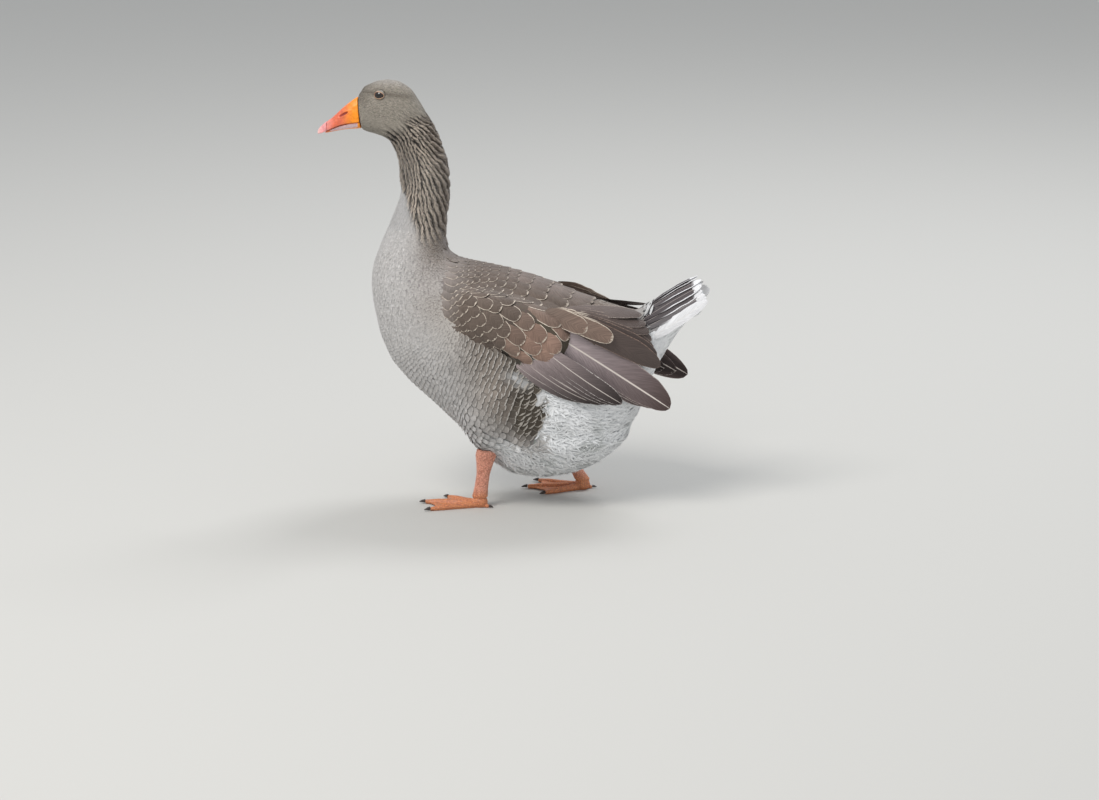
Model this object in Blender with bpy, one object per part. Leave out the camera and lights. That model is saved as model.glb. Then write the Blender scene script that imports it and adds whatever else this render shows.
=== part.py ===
"""Domestic goose, grey farm type, life size, walking pose with the neck up.

Row frame: metres, +Z up, the goose faces -Y, its left side is at +X, and its feet stand on z = 0.
The body is one loft along head, neck, trunk and tail coverts, parted by thin gaps. Wings, thighs and
tail are cut back to the body that carries them. All sizes below are in millimetres.
"""

import math
from collections import namedtuple

import bpy
import numpy as np

MM = 0.001
GAP = 0.3  # clearance between neighbouring pieces
SIDES = {"left": 1, "right": -1}

# Station of the body loft: mid-line points of the upper and lower outline (y, z), half width, how far
# the widest level is lowered (share of the half height), and depth of the belly's middle groove.
Station = namedtuple("Station", "back belly half_width low groove")

HEAD = [
    Station((-214.0, 583.6), (-209.1, 535.5), 15.5, 0.10, 0),  # face, at the root of the bill
    Station((-205.3, 597.4), (-199.1, 530.7), 20.5, 0.12, 0),
    Station((-189.5, 606.5), (-187.8, 526.7), 25.0, 0.14, 0),  # eyes
    Station((-171.1, 609.3), (-177.7, 523.4), 28.0, 0.14, 0),  # crown and cheeks
    Station((-154.1, 606.5), (-169.9, 519.2), 29.5, 0.10, 0),
    Station((-137.3, 595.8), (-164.9, 511.4), 29.5, 0.06, 0),
    Station((-123.4, 574.3), (-160.9, 501.4), 29.0, 0.03, 0),  # nape and throat
]
NECK = [
    Station((-108.8, 548.3), (-158.5, 488.4), 28.5, 0, 0),
    Station((-95.5, 521.5), (-157.2, 473.2), 29.5, 0, 0),
    Station((-86.0, 494.6), (-156.7, 457.9), 30.5, 0, 0),
    Station((-82.2, 467.5), (-158.2, 442.0), 32.0, 0, 0),
    Station((-83.1, 438.7), (-165.9, 423.0), 35.0, 0, 0),
    Station((-85.7, 411.3), (-177.6, 398.9), 41.0, 0, 0),
    Station((-86.6, 386.6), (-190.2, 369.7), 51.0, 0, 0),
    Station((-84.3, 366.5), (-198.6, 343.4), 63.0, 0, 0),  # foot of the neck
]
TRUNK = [
    Station((-76.4, 355.4), (-200.6, 312.2), 76.0, 0, 0),  # shoulders and upper breast
    Station((-63.0, 351.5), (-197.1, 277.6), 86.0, 0, 0),
    Station((-43.7, 348.8), (-189.6, 240.4), 93.0, 0.02, 0),
    Station((-20.8, 345.2), (-172.0, 200.9), 98.0, 0.04, 0),
    Station((5.0, 340.3), (-145.0, 169.8), 101.0, 0.06, 0),
    Station((30.8, 333.3), (-111.0, 140.7), 102.5, 0.08, 0),
    Station((55.3, 325.1), (-73.7, 106.0), 102.5, 0.08, 0),
    Station((80.0, 316.2), (-37.5, 67.0), 101.0, 0.09, 3),
    Station((103.2, 307.3), (0.9, 37.2), 98.5, 0.09, 8),  # hanging belly with its two lobes
    Station((126.2, 299.0), (45.5, 30.5), 95.0, 0.09, 13),
    Station((146.4, 292.4), (90.5, 37.0), 88.0, 0.09, 13),
    Station((165.2, 287.1), (134.5, 57.6), 79.0, 0.08, 9),
    Station((181.0, 283.5), (170.5, 92.4), 70.0, 0.08, 5),
    Station((191.5, 281.8), (192.6, 131.0), 59.0, 0.04, 2),  # vent
]
TAIL_COVERTS = [
    Station((198.5, 283.6), (206.0, 172.8), 48.0, 0, 0),
    Station((206.0, 287.7), (219.5, 206.8), 40.0, -0.04, 0),
    Station((217.5, 295.5), (237.1, 237.7), 34.0, -0.08, 0),
    Station((232.0, 303.0), (253.5, 264.5), 28.0, -0.10, 0),
    Station((248.0, 309.5), (267.5, 287.5), 20.0, -0.10, 0),
    Station((261.0, 314.0), (272.5, 301.0), 10.0, 0, 0),
]
GROOVE_SPREAD = 21.0

# Bill: station of one mandible, its upper and lower level and its half width.
BillStation = namedtuple("BillStation", "y top bottom half_width")
BILL_UPPER = [
    BillStation(-210.6, 582.4, 547.6, 14.6),
    BillStation(-219.8, 577.8, 546.5, 14.4),
    BillStation(-228.6, 572.2, 545.2, 13.9),
    BillStation(-236.9, 565.6, 543.2, 13.4),
    BillStation(-244.7, 557.9, 540.3, 12.9),
    BillStation(-252.0, 551.4, 537.0, 12.3),
    BillStation(-258.4, 546.8, 534.2, 11.6),
]
BILL_NAIL = [
    BillStation(-258.9, 546.6, 533.9, 11.4),
    BillStation(-263.6, 543.2, 531.6, 10.2),
    BillStation(-268.0, 539.2, 529.8, 8.2),
    BillStation(-271.1, 535.5, 528.9, 5.2),
    BillStation(-272.4, 533.0, 529.6, 2.2),
]
BILL_LOWER = [
    BillStation(-209.6, 547.0, 537.3, 12.6),
    BillStation(-218.8, 546.0, 536.6, 12.4),
    BillStation(-228.6, 544.4, 535.9, 11.9),
    BillStation(-238.2, 541.7, 534.6, 11.2),
    BillStation(-248.2, 537.7, 532.6, 10.2),
    BillStation(-256.0, 534.2, 530.9, 8.6),
    BillStation(-261.0, 532.0, 529.9, 5.0),
]
BILL_BACK_LEAN = 0.101  # how far the root plane of the bill leans back, as run over rise

EYE_CENTRE = (17.4, -180.6, 587.0)
EYE_RADIUS = 6.8

# Fan: one group of flight feathers. The edges of the first and last feather run from a root to a tip, and
# the tips between them bulge out. Each feather steps down by the lap onto the next and ends in a round tip.
Fan = namedtuple("Fan", "first last bulge arch count thickness lap tip_round")
TERTIALS = Fan(
    ((68, 62, 298), (40, 170, 284)), ((106, 80, 234), (74, 214, 202)), (0, 17, 6), 3, 4, 3.0, 2.0, 0.07
)
SECONDARIES = Fan(
    ((92, 96, 236), (78, 188, 168)), ((110, 24, 204), (102, 112, 166)), (0, 4, -4), 2, 5, 2.8, 1.6, 0.10
)
PRIMARIES = Fan(
    ((74, 96, 252), (57, 216, 208)), ((76, 90, 226), (65, 226, 146)), (0, 14, -4), 2, 3, 2.8, 1.6, 0.05
)
# How each wing's tertials, secondaries and primaries are held: lift in degrees, reach further back.
HELD = {"left": ((0, 0), (0, 0), (0, 0)), "right": ((0, 0), (3, 0), (9, 12))}
FAN_RINGS = (0.0, 0.6, 0.9, 1.0)
FEATHER_COLUMNS = (0.03, 0.33, 0.67, 1.0)

# Wing shield: station of the folded wing under its coverts, from the shoulder back: upper and lower edge
# (y, z) and outermost x.
ShieldStation = namedtuple("ShieldStation", "upper lower outer")
SHIELD = [
    ShieldStation((-80, 312), (-82, 284), 84),
    ShieldStation((-72, 322), (-76, 266), 95),
    ShieldStation((-52, 327), (-60, 254), 105),
    ShieldStation((-22, 326), (-34, 244), 112),
    ShieldStation((12, 320), (0, 230), 117),
    ShieldStation((44, 311), (32, 217), 119),
    ShieldStation((76, 299), (66, 215), 118),
    ShieldStation((106, 286), (98, 222), 113),
    ShieldStation((130, 274), (124, 236), 106),
    ShieldStation((146, 264), (142, 250), 98),
]
SHIELD_CORE = 55.0  # x of the shield's inner side, deep inside the trunk that is cut from it
SHIELD_ROWS = 5  # covert rows that show as steps
SHIELD_STEP = 1.8
SHIELD_RINGS = 10
SHIELD_AROUND = 14

# Tail fan: rectrices side by side on an arch, all pointing along the tail's axis.
TAIL_ROOT = (190.0, 262.0)
TAIL_RISE_DEG = 40.0
TAIL_LENGTH = 106.0
TAIL_HALF = (22.0, 46.0)  # at the root and at the tips
TAIL_ARCH = 20.0
TAIL_FEATHERS = 12

# Legs: joints are (x, y, z) for the left leg, with x mirrored on the right.
Leg = namedtuple("Leg", "hip hock ankle toe_in_deg")
LEGS = {
    "left": Leg((86, 0, 196), (60, -27, 87), (54, -38, 15), 6),
    "right": Leg((90, 26, 196), (66, 66, 70), (54, 101, 15), 4),
}
# Thigh, shank: share of the way down, half size along the body, half size across it.
THIGH = [(0.0, 34, 12), (0.2, 46, 26), (0.42, 52, 30), (0.62, 48, 28), (0.8, 36, 24), (0.92, 24, 17), (1.0, 16, 12)]
SHANK = [(0.0, 11.8, 9.2), (0.12, 13.2, 9.6), (0.3, 11.2, 7.6), (0.55, 9.8, 6.8), (0.8, 10.2, 7.4), (1.0, 11.6, 9.4)]
Toe = namedtuple("Toe", "name angle_deg length root_radius tip_radius")
TOES = [
    Toe("inner", 31, 63, 6.2, 4.2),
    Toe("middle", 0, 80, 6.8, 4.6),
    Toe("outer", -29, 74, 6.2, 4.2),
]
HALLUX = Toe("hind", 196, 15, 4.2, 3.0)
TOE_SINK = 0.72  # centre height as a share of the radius, so that each toe stands on a flat
WEB_THICKNESS = 2.6
WEB_REACH = 0.87  # free edge of the web midway between two toes, as a share of their length
CLAW_LENGTH = 9.0
CLAW_RADIUS = 2.9


def collection(name):
    made = bpy.data.collections.new(name)
    bpy.context.scene.collection.children.link(made)
    return made


def clear_scene():
    for obj in list(bpy.data.objects):
        bpy.data.objects.remove(obj)


def material(name, colour, roughness):
    made = bpy.data.materials.new(name)
    made.use_nodes = True
    shader = made.node_tree.nodes["Principled BSDF"]
    shader.inputs["Base Color"].default_value = (*colour, 1)
    shader.inputs["Roughness"].default_value = roughness
    shader.inputs["Metallic"].default_value = 0
    return made


def mesh_object(name, points, faces, finish, home):
    """A mesh object from points in millimetres."""
    mesh = bpy.data.meshes.new(name)
    mesh.from_pydata((np.asarray(points) * MM).tolist(), [], faces)
    mesh.validate()
    mesh.shade_smooth()
    mesh.set_sharp_from_angle(angle=math.radians(50))
    obj = bpy.data.objects.new(name, mesh)
    if finish:
        mesh.materials.append(finish)
    home.objects.link(obj)
    return obj


def loft(rings):
    """Points and outward faces of a closed tube through rings, each an array of (x, y, z).
    A ring's points run round from its top towards +X, and the rings run from the front back."""
    rings = np.asarray(rings, float)
    count, around = rings.shape[:2]
    faces = []
    for i in range(count - 1):
        for j in range(around):
            k = (j + 1) % around
            a, b, c, d = i * around + j, i * around + k, (i + 1) * around + k, (i + 1) * around + j
            faces += [(a, b, c), (a, c, d)]
    faces.append(tuple(range(around))[::-1])
    faces.append(tuple((count - 1) * around + j for j in range(around)))
    return rings.reshape(-1, 3), faces


def facing_out(points, faces):
    """The faces, turned round if they enclose a negative volume."""
    volume = 0.0
    for face in faces:
        first = points[face[0]]
        for a, b in zip(face[1:-1], face[2:]):
            volume += float(np.dot(first, np.cross(points[a], points[b])))
    return faces if volume > 0 else [tuple(reversed(face)) for face in faces]


def mirrored(points, side):
    turned = np.array(points, float)
    turned[..., 0] *= side
    return turned


def smooth_rows(rows, per_span):
    """Catmull-Rom values between rows of numbers, per_span steps to each span."""
    rows = np.asarray(rows, float)
    ends = np.vstack([2 * rows[0] - rows[1], rows, 2 * rows[-1] - rows[-2]])
    out = []
    for i in range(1, len(ends) - 2):
        before, a, b, after = ends[i - 1 : i + 3]
        for step in range(per_span):
            t = step / per_span
            out.append(
                0.5 * (2 * a + (b - before) * t + (2 * before - 5 * a + 4 * b - after) * t * t
                       + (3 * a - before - 3 * b + after) * t**3)
            )
    out.append(ends[-2])
    return np.array(out)


def body_ring(row, around, inflate=0.0):
    """One ring of the body loft from a row: back y, z, belly y, z, half width, low, groove."""
    back, belly, (half_width, low, groove) = row[0:2], row[2:4], row[4:7]
    centre, reach = (back + belly) / 2, (back - belly) / 2
    half_height = np.linalg.norm(reach)
    up = reach / half_height
    turn = np.arange(around) / around * 2 * math.pi
    x = (half_width + inflate) * np.sin(turn) * (1 - low * np.cos(turn))
    rise = (half_height + inflate) * np.cos(turn)
    under = np.clip(-np.cos(turn), 0, 1)
    rise = rise + groove * np.exp(-((x / GROOVE_SPREAD) ** 2)) * under
    return np.stack([x, centre[0] + up[0] * rise, centre[1] + up[1] * rise], axis=1)


def station_rows(stations):
    return [(*s.back, *s.belly, s.half_width, s.low, s.groove) for s in stations]


def body_rows():
    """The rows of the whole body, and the first and last index of each part."""
    rows, cuts = [], {}
    for name, stations in (("head", HEAD), ("neck", NECK), ("trunk", TRUNK), ("tail_coverts", TAIL_COVERTS)):
        first = max(0, len(rows) - 1)
        rows += station_rows(stations)
        cuts[name] = (first, len(rows) - 1)
    return np.array(rows), cuts


def along_ring(row):
    """Unit vector from a ring towards the tail, square to its plane."""
    back, belly = row[0:2], row[2:4]
    up = (back - belly) / np.linalg.norm(back - belly)
    return np.array([0.0, up[1], -up[0]])


def body_part(name, around, finish, home, inflate=0.0):
    """One part of the body loft. All but the head start GAP behind the part before them."""
    rows, cuts = body_rows()
    first, last = cuts[name]
    rings = [body_ring(row, around, inflate) for row in rows[first : last + 1]]
    if name != "head":
        rings[0] = rings[0] + along_ring(rows[first]) * (GAP - inflate)
    if inflate:
        rings[-1] = rings[-1] + along_ring(rows[last]) * inflate
    points, faces = loft(rings)
    return mesh_object(name, points, facing_out(points, faces), finish, home)


def boolean(obj, operation, other):
    step = obj.modifiers.new(operation.lower(), "BOOLEAN")
    step.operation = operation
    step.solver = "EXACT"
    step.object = other
    return obj


def as_helper(obj):
    obj.hide_render = True
    obj.display_type = "WIRE"
    return obj


def egg(name, centre, radii, finish, home, segments=12, rings=8):
    """An ellipsoid from Blender's sphere, lying with its poles along x."""
    bpy.ops.mesh.primitive_uv_sphere_add(segments=segments, ring_count=rings, radius=1)
    obj = bpy.context.object
    obj.name = obj.data.name = name
    for home_now in list(obj.users_collection):
        home_now.objects.unlink(obj)
    home.objects.link(obj)
    for vertex in obj.data.vertices:
        x, y, z = vertex.co
        vertex.co = (z * radii[0] * MM, x * radii[1] * MM, y * radii[2] * MM)
    obj.data.shade_smooth()
    if finish:
        obj.data.materials.append(finish)
    obj.location = [c * MM for c in centre]
    return obj


def bill_ring(station, upper):
    """A mandible's section: the upper one is a ridge on a flat base, the lower one a shallow trough."""
    arch = [(1.0, 0.0), (1.0, 0.2), (0.93, 0.45), (0.76, 0.72), (0.46, 0.93), (0.0, 1.0)]
    half = [(x * station.half_width, rise) for x, rise in arch]
    outline = half + [(-x, rise) for x, rise in reversed(half[:-1])]
    base, reach = (station.bottom, station.top - station.bottom)
    if not upper:
        base, reach = (station.top, station.bottom - station.top)
    middle = (0.0, 0.0)
    ring = []
    for x, rise in outline + [middle]:
        z = base + reach * rise
        ring.append((x, station.y, z))
    return ring


def lean_back(ring, level, lean):
    """A ring of the bill leaned to lie along the face."""
    return [(x, y - (z - level) * lean, z) for x, y, z in ring]


def mandible(name, stations, upper, finish, home, leans):
    rings = [bill_ring(station, upper) for station in stations]
    if leans:
        rings[0] = lean_back(rings[0], stations[0].bottom, BILL_BACK_LEAN)
        rings[1] = lean_back(rings[1], stations[1].bottom, BILL_BACK_LEAN / 2)
    points, faces = loft(rings)
    return mesh_object(name, points, facing_out(points, faces), finish, home)


def fan_rings(fan, facing, held=(0, 0), inner_columns=FEATHER_COLUMNS, two_sided=False, grow=0.0):
    """Rings across a group of flight feathers. Grown, the group is a plain envelope to cut with."""
    lift = math.radians(held[0])
    turn = np.array([[1, 0, 0], [0, math.cos(lift), -math.sin(lift)], [0, math.sin(lift), math.cos(lift)]])
    (root_a, tip_a), (root_b, tip_b) = np.array(fan.first, float), np.array(fan.last, float)
    pivot = (root_a + root_b) / 2
    root_a, tip_a, root_b, tip_b = (pivot + turn @ (spot - pivot) for spot in (root_a, tip_a, root_b, tip_b))
    tip_a, tip_b = (tip + (0, held[1], 0) for tip in (tip_a, tip_b))
    normal = np.cross(tip_a - root_a + tip_b - root_b, root_b - root_a + tip_b - tip_a)
    normal *= math.copysign(1, float(normal @ facing)) / np.linalg.norm(normal)
    columns = []
    for i in range(fan.count):
        for inner in inner_columns:
            place = (i + inner) / fan.count
            low_first = two_sided and i < fan.count / 2
            columns.append((place, fan.lap * (inner if low_first else 1 - inner), fan.tip_round * (2 * inner - 1) ** 2))
    if grow:
        spill = grow / np.linalg.norm(root_b - root_a)
        places = np.linspace(0, 1, 2 * fan.count + 1)
        places[0], places[-1] = -spill, 1 + spill
        columns = [(place, fan.lap, 0.0) for place in places]
    rings = []
    for s in FAN_RINGS:
        upper, lower = [], []
        for place, lap, short in columns:
            root = root_a + (root_b - root_a) * place
            tip = tip_a + (tip_b - tip_a) * place + turn @ np.array(fan.bulge) * math.sin(math.pi * min(max(place, 0), 1))
            along = tip - root
            spot = root + along * (s * (1 - short) + grow / np.linalg.norm(along) * (2 * s - 1))
            spot = spot + normal * fan.arch * (1 - (2 * place - 1) ** 2)
            half = fan.thickness * (1 - 0.4 * s) / 2 + grow
            upper.append(spot + normal * (half + lap * (1 - 0.3 * s)))
            lower.append(spot - normal * half)
        rings.append(upper + lower[::-1])
    return np.array(rings)


def fan_object(name, rings, side, finish, home):
    points, faces = loft(mirrored(rings, side))
    faces = facing_out(points, split_caps(faces, rings.shape[1]))
    return mesh_object(name, points, faces, finish, home)


def split_caps(faces, around):
    """The long thin end faces of a plate as triangles across it, so that a curved end stays true."""
    out = [face for face in faces if len(face) != around]
    for face in (face for face in faces if len(face) == around):
        for j in range(around // 2 - 1):
            a, b, c, d = face[j], face[j + 1], face[around - 2 - j], face[around - 1 - j]
            out += [(a, b, c), (a, c, d)]
    return out


def tail_rings(grow=0.0):
    """The rectrices as one arched fan: each laps the next towards the edge."""
    rise = math.radians(TAIL_RISE_DEG)
    along = np.array([0, math.cos(rise), math.sin(rise)])
    out = np.array([0, -math.sin(rise), math.cos(rise)])
    root = np.array([0, *TAIL_ROOT]) - out * TAIL_ARCH
    tip = root + along * TAIL_LENGTH * 0.94
    edges = [(root + (w * TAIL_HALF[0], 0, 0), tip + (w * TAIL_HALF[1], 0, 0)) for w in (1, -1)]
    fan = Fan(*edges, along * TAIL_LENGTH * 0.06, TAIL_ARCH, TAIL_FEATHERS, 3.0, 1.4, 0.05)
    return fan_rings(fan, out, inner_columns=(0.03, 0.5, 1.0), two_sided=True, grow=grow)


def shield_rings(grow=0.0):
    """Rings of the folded wing under its coverts, stepped where one covert row ends on the next."""
    rows = [(*s.upper, *s.lower, s.outer) for s in SHIELD]
    fine = smooth_rows(rows, 8)
    turn = np.arange(SHIELD_AROUND) / SHIELD_AROUND * 2 * math.pi
    rings = []
    for i in range(SHIELD_RINGS):
        share = i / (SHIELD_RINGS - 1)
        row = fine[round(share * (len(fine) - 1))]
        upper, lower, outer = row[0:2], row[2:4], row[4]
        centre, reach = (upper + lower) / 2, (upper - lower) / 2
        phase = (share * SHIELD_ROWS) % 1.0
        step = SHIELD_STEP * (phase if 0 < i < SHIELD_RINGS - 1 else 0)
        centre_x = (outer + SHIELD_CORE) / 2
        depth = (outer - SHIELD_CORE) / 2 + step + grow
        reach = reach * (1 + grow / np.linalg.norm(reach))
        x = centre_x + depth * np.sign(np.sin(turn)) * np.abs(np.sin(turn)) ** 0.8
        rise = np.sign(np.cos(turn)) * np.abs(np.cos(turn)) ** 0.8
        rings.append(np.stack([x, centre[0] + reach[0] * rise, centre[1] + reach[1] * rise], axis=1))
    rings[0][:, 1] -= grow
    rings[-1][:, 1] += grow
    return np.array(rings)


def limb_rings(top, foot, profile, around, grow=0.0):
    """Level rings down a limb. Profile: share of the way down, half size along the body and across it."""
    top, foot = np.array(top, float), np.array(foot, float)
    turn = np.arange(around) / around * 2 * math.pi
    rings = []
    for share, deep, wide in profile:
        centre = top + (foot - top) * share
        across, along_body = (wide + grow) * np.sin(turn), (deep + grow) * np.cos(turn)
        rings.append(np.stack([centre[0] + across, centre[1] + along_body, np.full(around, centre[2])], axis=1))
    rings[0][:, 2] += grow
    rings[-1][:, 2] -= grow
    return np.array(rings)


def toe_frame(leg, toe, side):
    """Start point on the floor plane and unit direction of a toe, for the real side."""
    turn = math.radians(toe.angle_deg + leg.toe_in_deg)
    direction = np.array([-math.sin(turn) * side, -math.cos(turn), 0.0])
    start = np.array([leg.ankle[0] * side, leg.ankle[1], 0.0])
    return start, direction


def toe_rings(leg, toe, side):
    """Rings of one toe: three pads with slight knuckles between them."""
    start, direction = toe_frame(leg, toe, side)
    across = np.array([-direction[1], direction[0], 0.0])
    turn = np.arange(8) / 8 * 2 * math.pi
    rings = []
    count = 5
    for i in range(count):
        s = i / (count - 1)
        radius = toe.root_radius + (toe.tip_radius - toe.root_radius) * s
        radius *= 1 + 0.07 * math.cos(s * 3 * 2 * math.pi)
        if i == count - 1:
            radius *= 0.62
        centre = start + direction * toe.length * s + np.array([0, 0, radius * TOE_SINK])
        centre[2] = toe.root_radius * TOE_SINK + (toe.tip_radius - toe.root_radius) * TOE_SINK * s
        rings.append([centre + across * radius * math.sin(a) + np.array([0, 0, radius * math.cos(a)]) for a in turn])
    return np.array(rings)


def web_rings(leg, side):
    """Rings of the web, each a thin strip from toe to toe at one distance from the ankle."""
    angles, reaches = [], []
    for first, second in zip(TOES[:-1], TOES[1:]):
        for step in range(5):
            t = step / 5
            dip = 1 - (1 - WEB_REACH) * math.sin(math.pi * t) ** 0.8
            angles.append(first.angle_deg + (second.angle_deg - first.angle_deg) * t)
            reaches.append((first.length + (second.length - first.length) * t) * dip - 3)
    angles.append(TOES[-1].angle_deg)
    reaches.append(TOES[-1].length - 3)
    rings = []
    for share in (0.06, 0.5, 1.0):
        upper, lower = [], []
        for angle, reach in zip(angles, reaches):
            start, direction = toe_frame(leg, Toe("", angle, 0, 0, 0), side)
            spot = start + direction * reach * share
            upper.append(spot + np.array([0, 0, 1.4 + WEB_THICKNESS]))
            lower.append(spot + np.array([0, 0, 1.4]))
        rings.append(upper + lower[::-1])
    return np.array(rings)


def claw_rings(leg, toe, side):
    """A short curved horny claw that starts GAP beyond its toe and dips to just above the floor."""
    start, direction = toe_frame(leg, toe, side)
    across = np.array([-direction[1], direction[0], 0.0])
    scale = 0.75 if toe.name == "hind" else 1.0
    turn = np.arange(6) / 6 * 2 * math.pi
    rings = []
    for s in (0.0, 0.5, 1.0):
        radius = CLAW_RADIUS * scale * (1 - 0.78 * s**1.4)
        centre = start + direction * (toe.length + GAP + CLAW_LENGTH * scale * s)
        centre[2] = toe.tip_radius * TOE_SINK + 0.9 - 1.5 * s**2
        rings.append([centre + across * radius * math.sin(a) + np.array([0, 0, radius * math.cos(a)]) for a in turn])
    return np.array(rings)


def foot(side_name, finish, home, helpers):
    """Ankle, toes and web joined into one piece, cut flat on the floor and level under the shank."""
    leg, side = LEGS[side_name], SIDES[side_name]
    name = f"foot_{side_name}"
    ankle_z = leg.ankle[2]
    ankle = egg(name, (leg.ankle[0] * side, leg.ankle[1], 7.6), (10.2, 11.8, 10.4), finish, home)
    for toe in TOES + [HALLUX]:
        points, faces = loft(toe_rings(leg, toe, side))
        made = mesh_object(f"{name}_{toe.name}", points, facing_out(points, faces), finish, helpers)
        boolean(ankle, "UNION", as_helper(made))
    points, faces = loft(web_rings(leg, side))
    faces = facing_out(points, split_caps(faces, len(points) // 3))
    web = mesh_object(f"{name}_web", points, faces, finish, helpers)
    boolean(ankle, "UNION", as_helper(web))
    for label, low, high in (("floor", -40.0, 0.0), ("shank", ankle_z - GAP, ankle_z + 40)):
        bpy.ops.mesh.primitive_cube_add(size=1)
        block = bpy.context.object
        block.name = f"{name}_{label}_cut"
        block.scale = (0.3, 0.3, (high - low) * MM)
        block.location = (leg.ankle[0] * side * MM, leg.ankle[1] * MM, (low + high) / 2 * MM)
        for home_now in list(block.users_collection):
            home_now.objects.unlink(block)
        helpers.objects.link(block)
        boolean(ankle, "DIFFERENCE", as_helper(block))
    return ankle


def wing(side_name, finish, home, helpers, body_cuts):
    """The covert shield and the flight feathers that come out from under it. Returns the shield's cutter."""
    side = SIDES[side_name]
    points, faces = loft(mirrored(shield_rings(), side))
    mesh_object(f"wing_{side_name}_coverts", points, facing_out(points, faces), finish, home)
    points, faces = loft(mirrored(shield_rings(GAP), side))
    shield_cut = as_helper(mesh_object(f"shield_{side_name}_cut", points, facing_out(points, faces), None, helpers))
    groups = {"tertials": TERTIALS, "secondaries": SECONDARIES, "primaries": PRIMARIES}
    for (label, fan), held in zip(groups.items(), HELD[side_name]):
        rings = fan_rings(fan, np.array([1.0, 0, 0]), held)
        group = fan_object(f"wing_{side_name}_{label}", rings, side, finish, home)
        for cutter in (shield_cut, *body_cuts):
            boolean(group, "DIFFERENCE", cutter)
    return shield_cut


def main():
    clear_scene()
    goose = collection("goose")
    helpers = collection("helpers")
    grey = material("grey_down", (0.36, 0.33, 0.30), 0.9)
    neck_brown = material("furrowed_neck", (0.27, 0.22, 0.18), 0.9)
    pale = material("pale_breast", (0.46, 0.44, 0.41), 0.9)
    white = material("white_down", (0.82, 0.82, 0.80), 0.9)
    brown = material("brown_feather", (0.15, 0.11, 0.085), 0.75)
    orange = material("orange_bill", (0.85, 0.28, 0.05), 0.45)
    nail_pink = material("bill_nail", (0.80, 0.55, 0.50), 0.4)
    skin = material("leg_skin", (0.72, 0.27, 0.16), 0.6)
    horn = material("claw_horn", (0.06, 0.045, 0.04), 0.4)
    eye_dark = material("eye", (0.02, 0.012, 0.01), 0.08)

    head = body_part("head", 22, grey, goose)
    body_part("neck", 20, neck_brown, goose)
    trunk = body_part("trunk", 26, pale, goose)
    coverts = body_part("tail_coverts", 18, white, goose)
    body_cuts = [as_helper(body_part(name, around, None, helpers, GAP)) for name, around in (("trunk", 26), ("tail_coverts", 18))]

    for side_name, side in SIDES.items():
        centre = (EYE_CENTRE[0] * side, *EYE_CENTRE[1:])
        egg(f"eye_{side_name}", centre, (EYE_RADIUS,) * 3, eye_dark, goose)
        boolean(head, "DIFFERENCE", as_helper(egg(f"socket_{side_name}", centre, (EYE_RADIUS + GAP,) * 3, None, helpers)))

    mandible("bill_upper", BILL_UPPER, True, orange, goose, True)
    mandible("bill_nail", BILL_NAIL, True, nail_pink, goose, False)
    mandible("bill_lower", BILL_LOWER, False, orange, goose, True)

    fan_object("tail_fan", tail_rings(), 1, white, goose)
    tail_cut = as_helper(fan_object("tail_cut", tail_rings(2 * GAP), 1, None, helpers))
    boolean(coverts, "DIFFERENCE", tail_cut)
    boolean(trunk, "DIFFERENCE", tail_cut)

    for side_name, side in SIDES.items():
        leg = LEGS[side_name]
        shank_top = np.array(leg.hock) - (0, 0, GAP)
        limbs = (("thigh", leg.hip, leg.hock, THIGH, 16, pale), ("shank", shank_top, leg.ankle, SHANK, 12, skin))
        for part, top, end, profile, around, finish in limbs:
            points, faces = loft(mirrored(limb_rings(top, end, profile, around), side))
            mesh_object(f"{part}_{side_name}", points, facing_out(points, faces), finish, goose)
            points, faces = loft(mirrored(limb_rings(top, end, profile, around, GAP), side))
            cut = mesh_object(f"{part}_{side_name}_cut", points, facing_out(points, faces), None, helpers)
            boolean(trunk, "DIFFERENCE", as_helper(cut))
        foot(side_name, skin, goose, helpers)
        for toe in TOES + [HALLUX]:
            points, faces = loft(claw_rings(leg, toe, side))
            mesh_object(f"claw_{side_name}_{toe.name}", points, facing_out(points, faces), horn, goose)
        boolean(trunk, "DIFFERENCE", wing(side_name, brown, goose, helpers, body_cuts))


main()
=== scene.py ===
import math

import bmesh
import bpy
import numpy as np
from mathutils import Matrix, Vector, noise
from mathutils.bvhtree import BVHTree


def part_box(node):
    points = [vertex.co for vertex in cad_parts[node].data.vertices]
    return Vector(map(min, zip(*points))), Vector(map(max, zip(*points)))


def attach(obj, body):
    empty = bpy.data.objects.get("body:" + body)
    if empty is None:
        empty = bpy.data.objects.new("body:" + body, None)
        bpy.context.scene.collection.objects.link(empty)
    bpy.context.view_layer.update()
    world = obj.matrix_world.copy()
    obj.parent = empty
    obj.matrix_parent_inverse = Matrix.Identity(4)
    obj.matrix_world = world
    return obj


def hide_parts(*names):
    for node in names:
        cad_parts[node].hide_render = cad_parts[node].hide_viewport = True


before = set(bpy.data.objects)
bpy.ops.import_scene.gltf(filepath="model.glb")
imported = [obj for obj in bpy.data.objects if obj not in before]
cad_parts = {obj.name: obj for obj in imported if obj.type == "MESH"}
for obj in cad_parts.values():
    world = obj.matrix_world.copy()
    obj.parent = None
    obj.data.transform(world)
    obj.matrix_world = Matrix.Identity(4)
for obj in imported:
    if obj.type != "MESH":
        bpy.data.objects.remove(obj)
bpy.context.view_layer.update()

# ------------------------------------------------------------------ the studio
# A plain pale floor under the bird, one large soft lamp high on its left, a weaker one
# behind it for the back's edge, and an even pale sky, so that every side is lit.
MM = 0.001
HALF_FLOOR = 30.0
CAMERA_AZIMUTH, CAMERA_HEIGHT = math.radians(95), math.radians(14)
CAMERA_DISTANCE, CAMERA_LENS, SENSOR = 4.785, 108.1, 36.0
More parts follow.
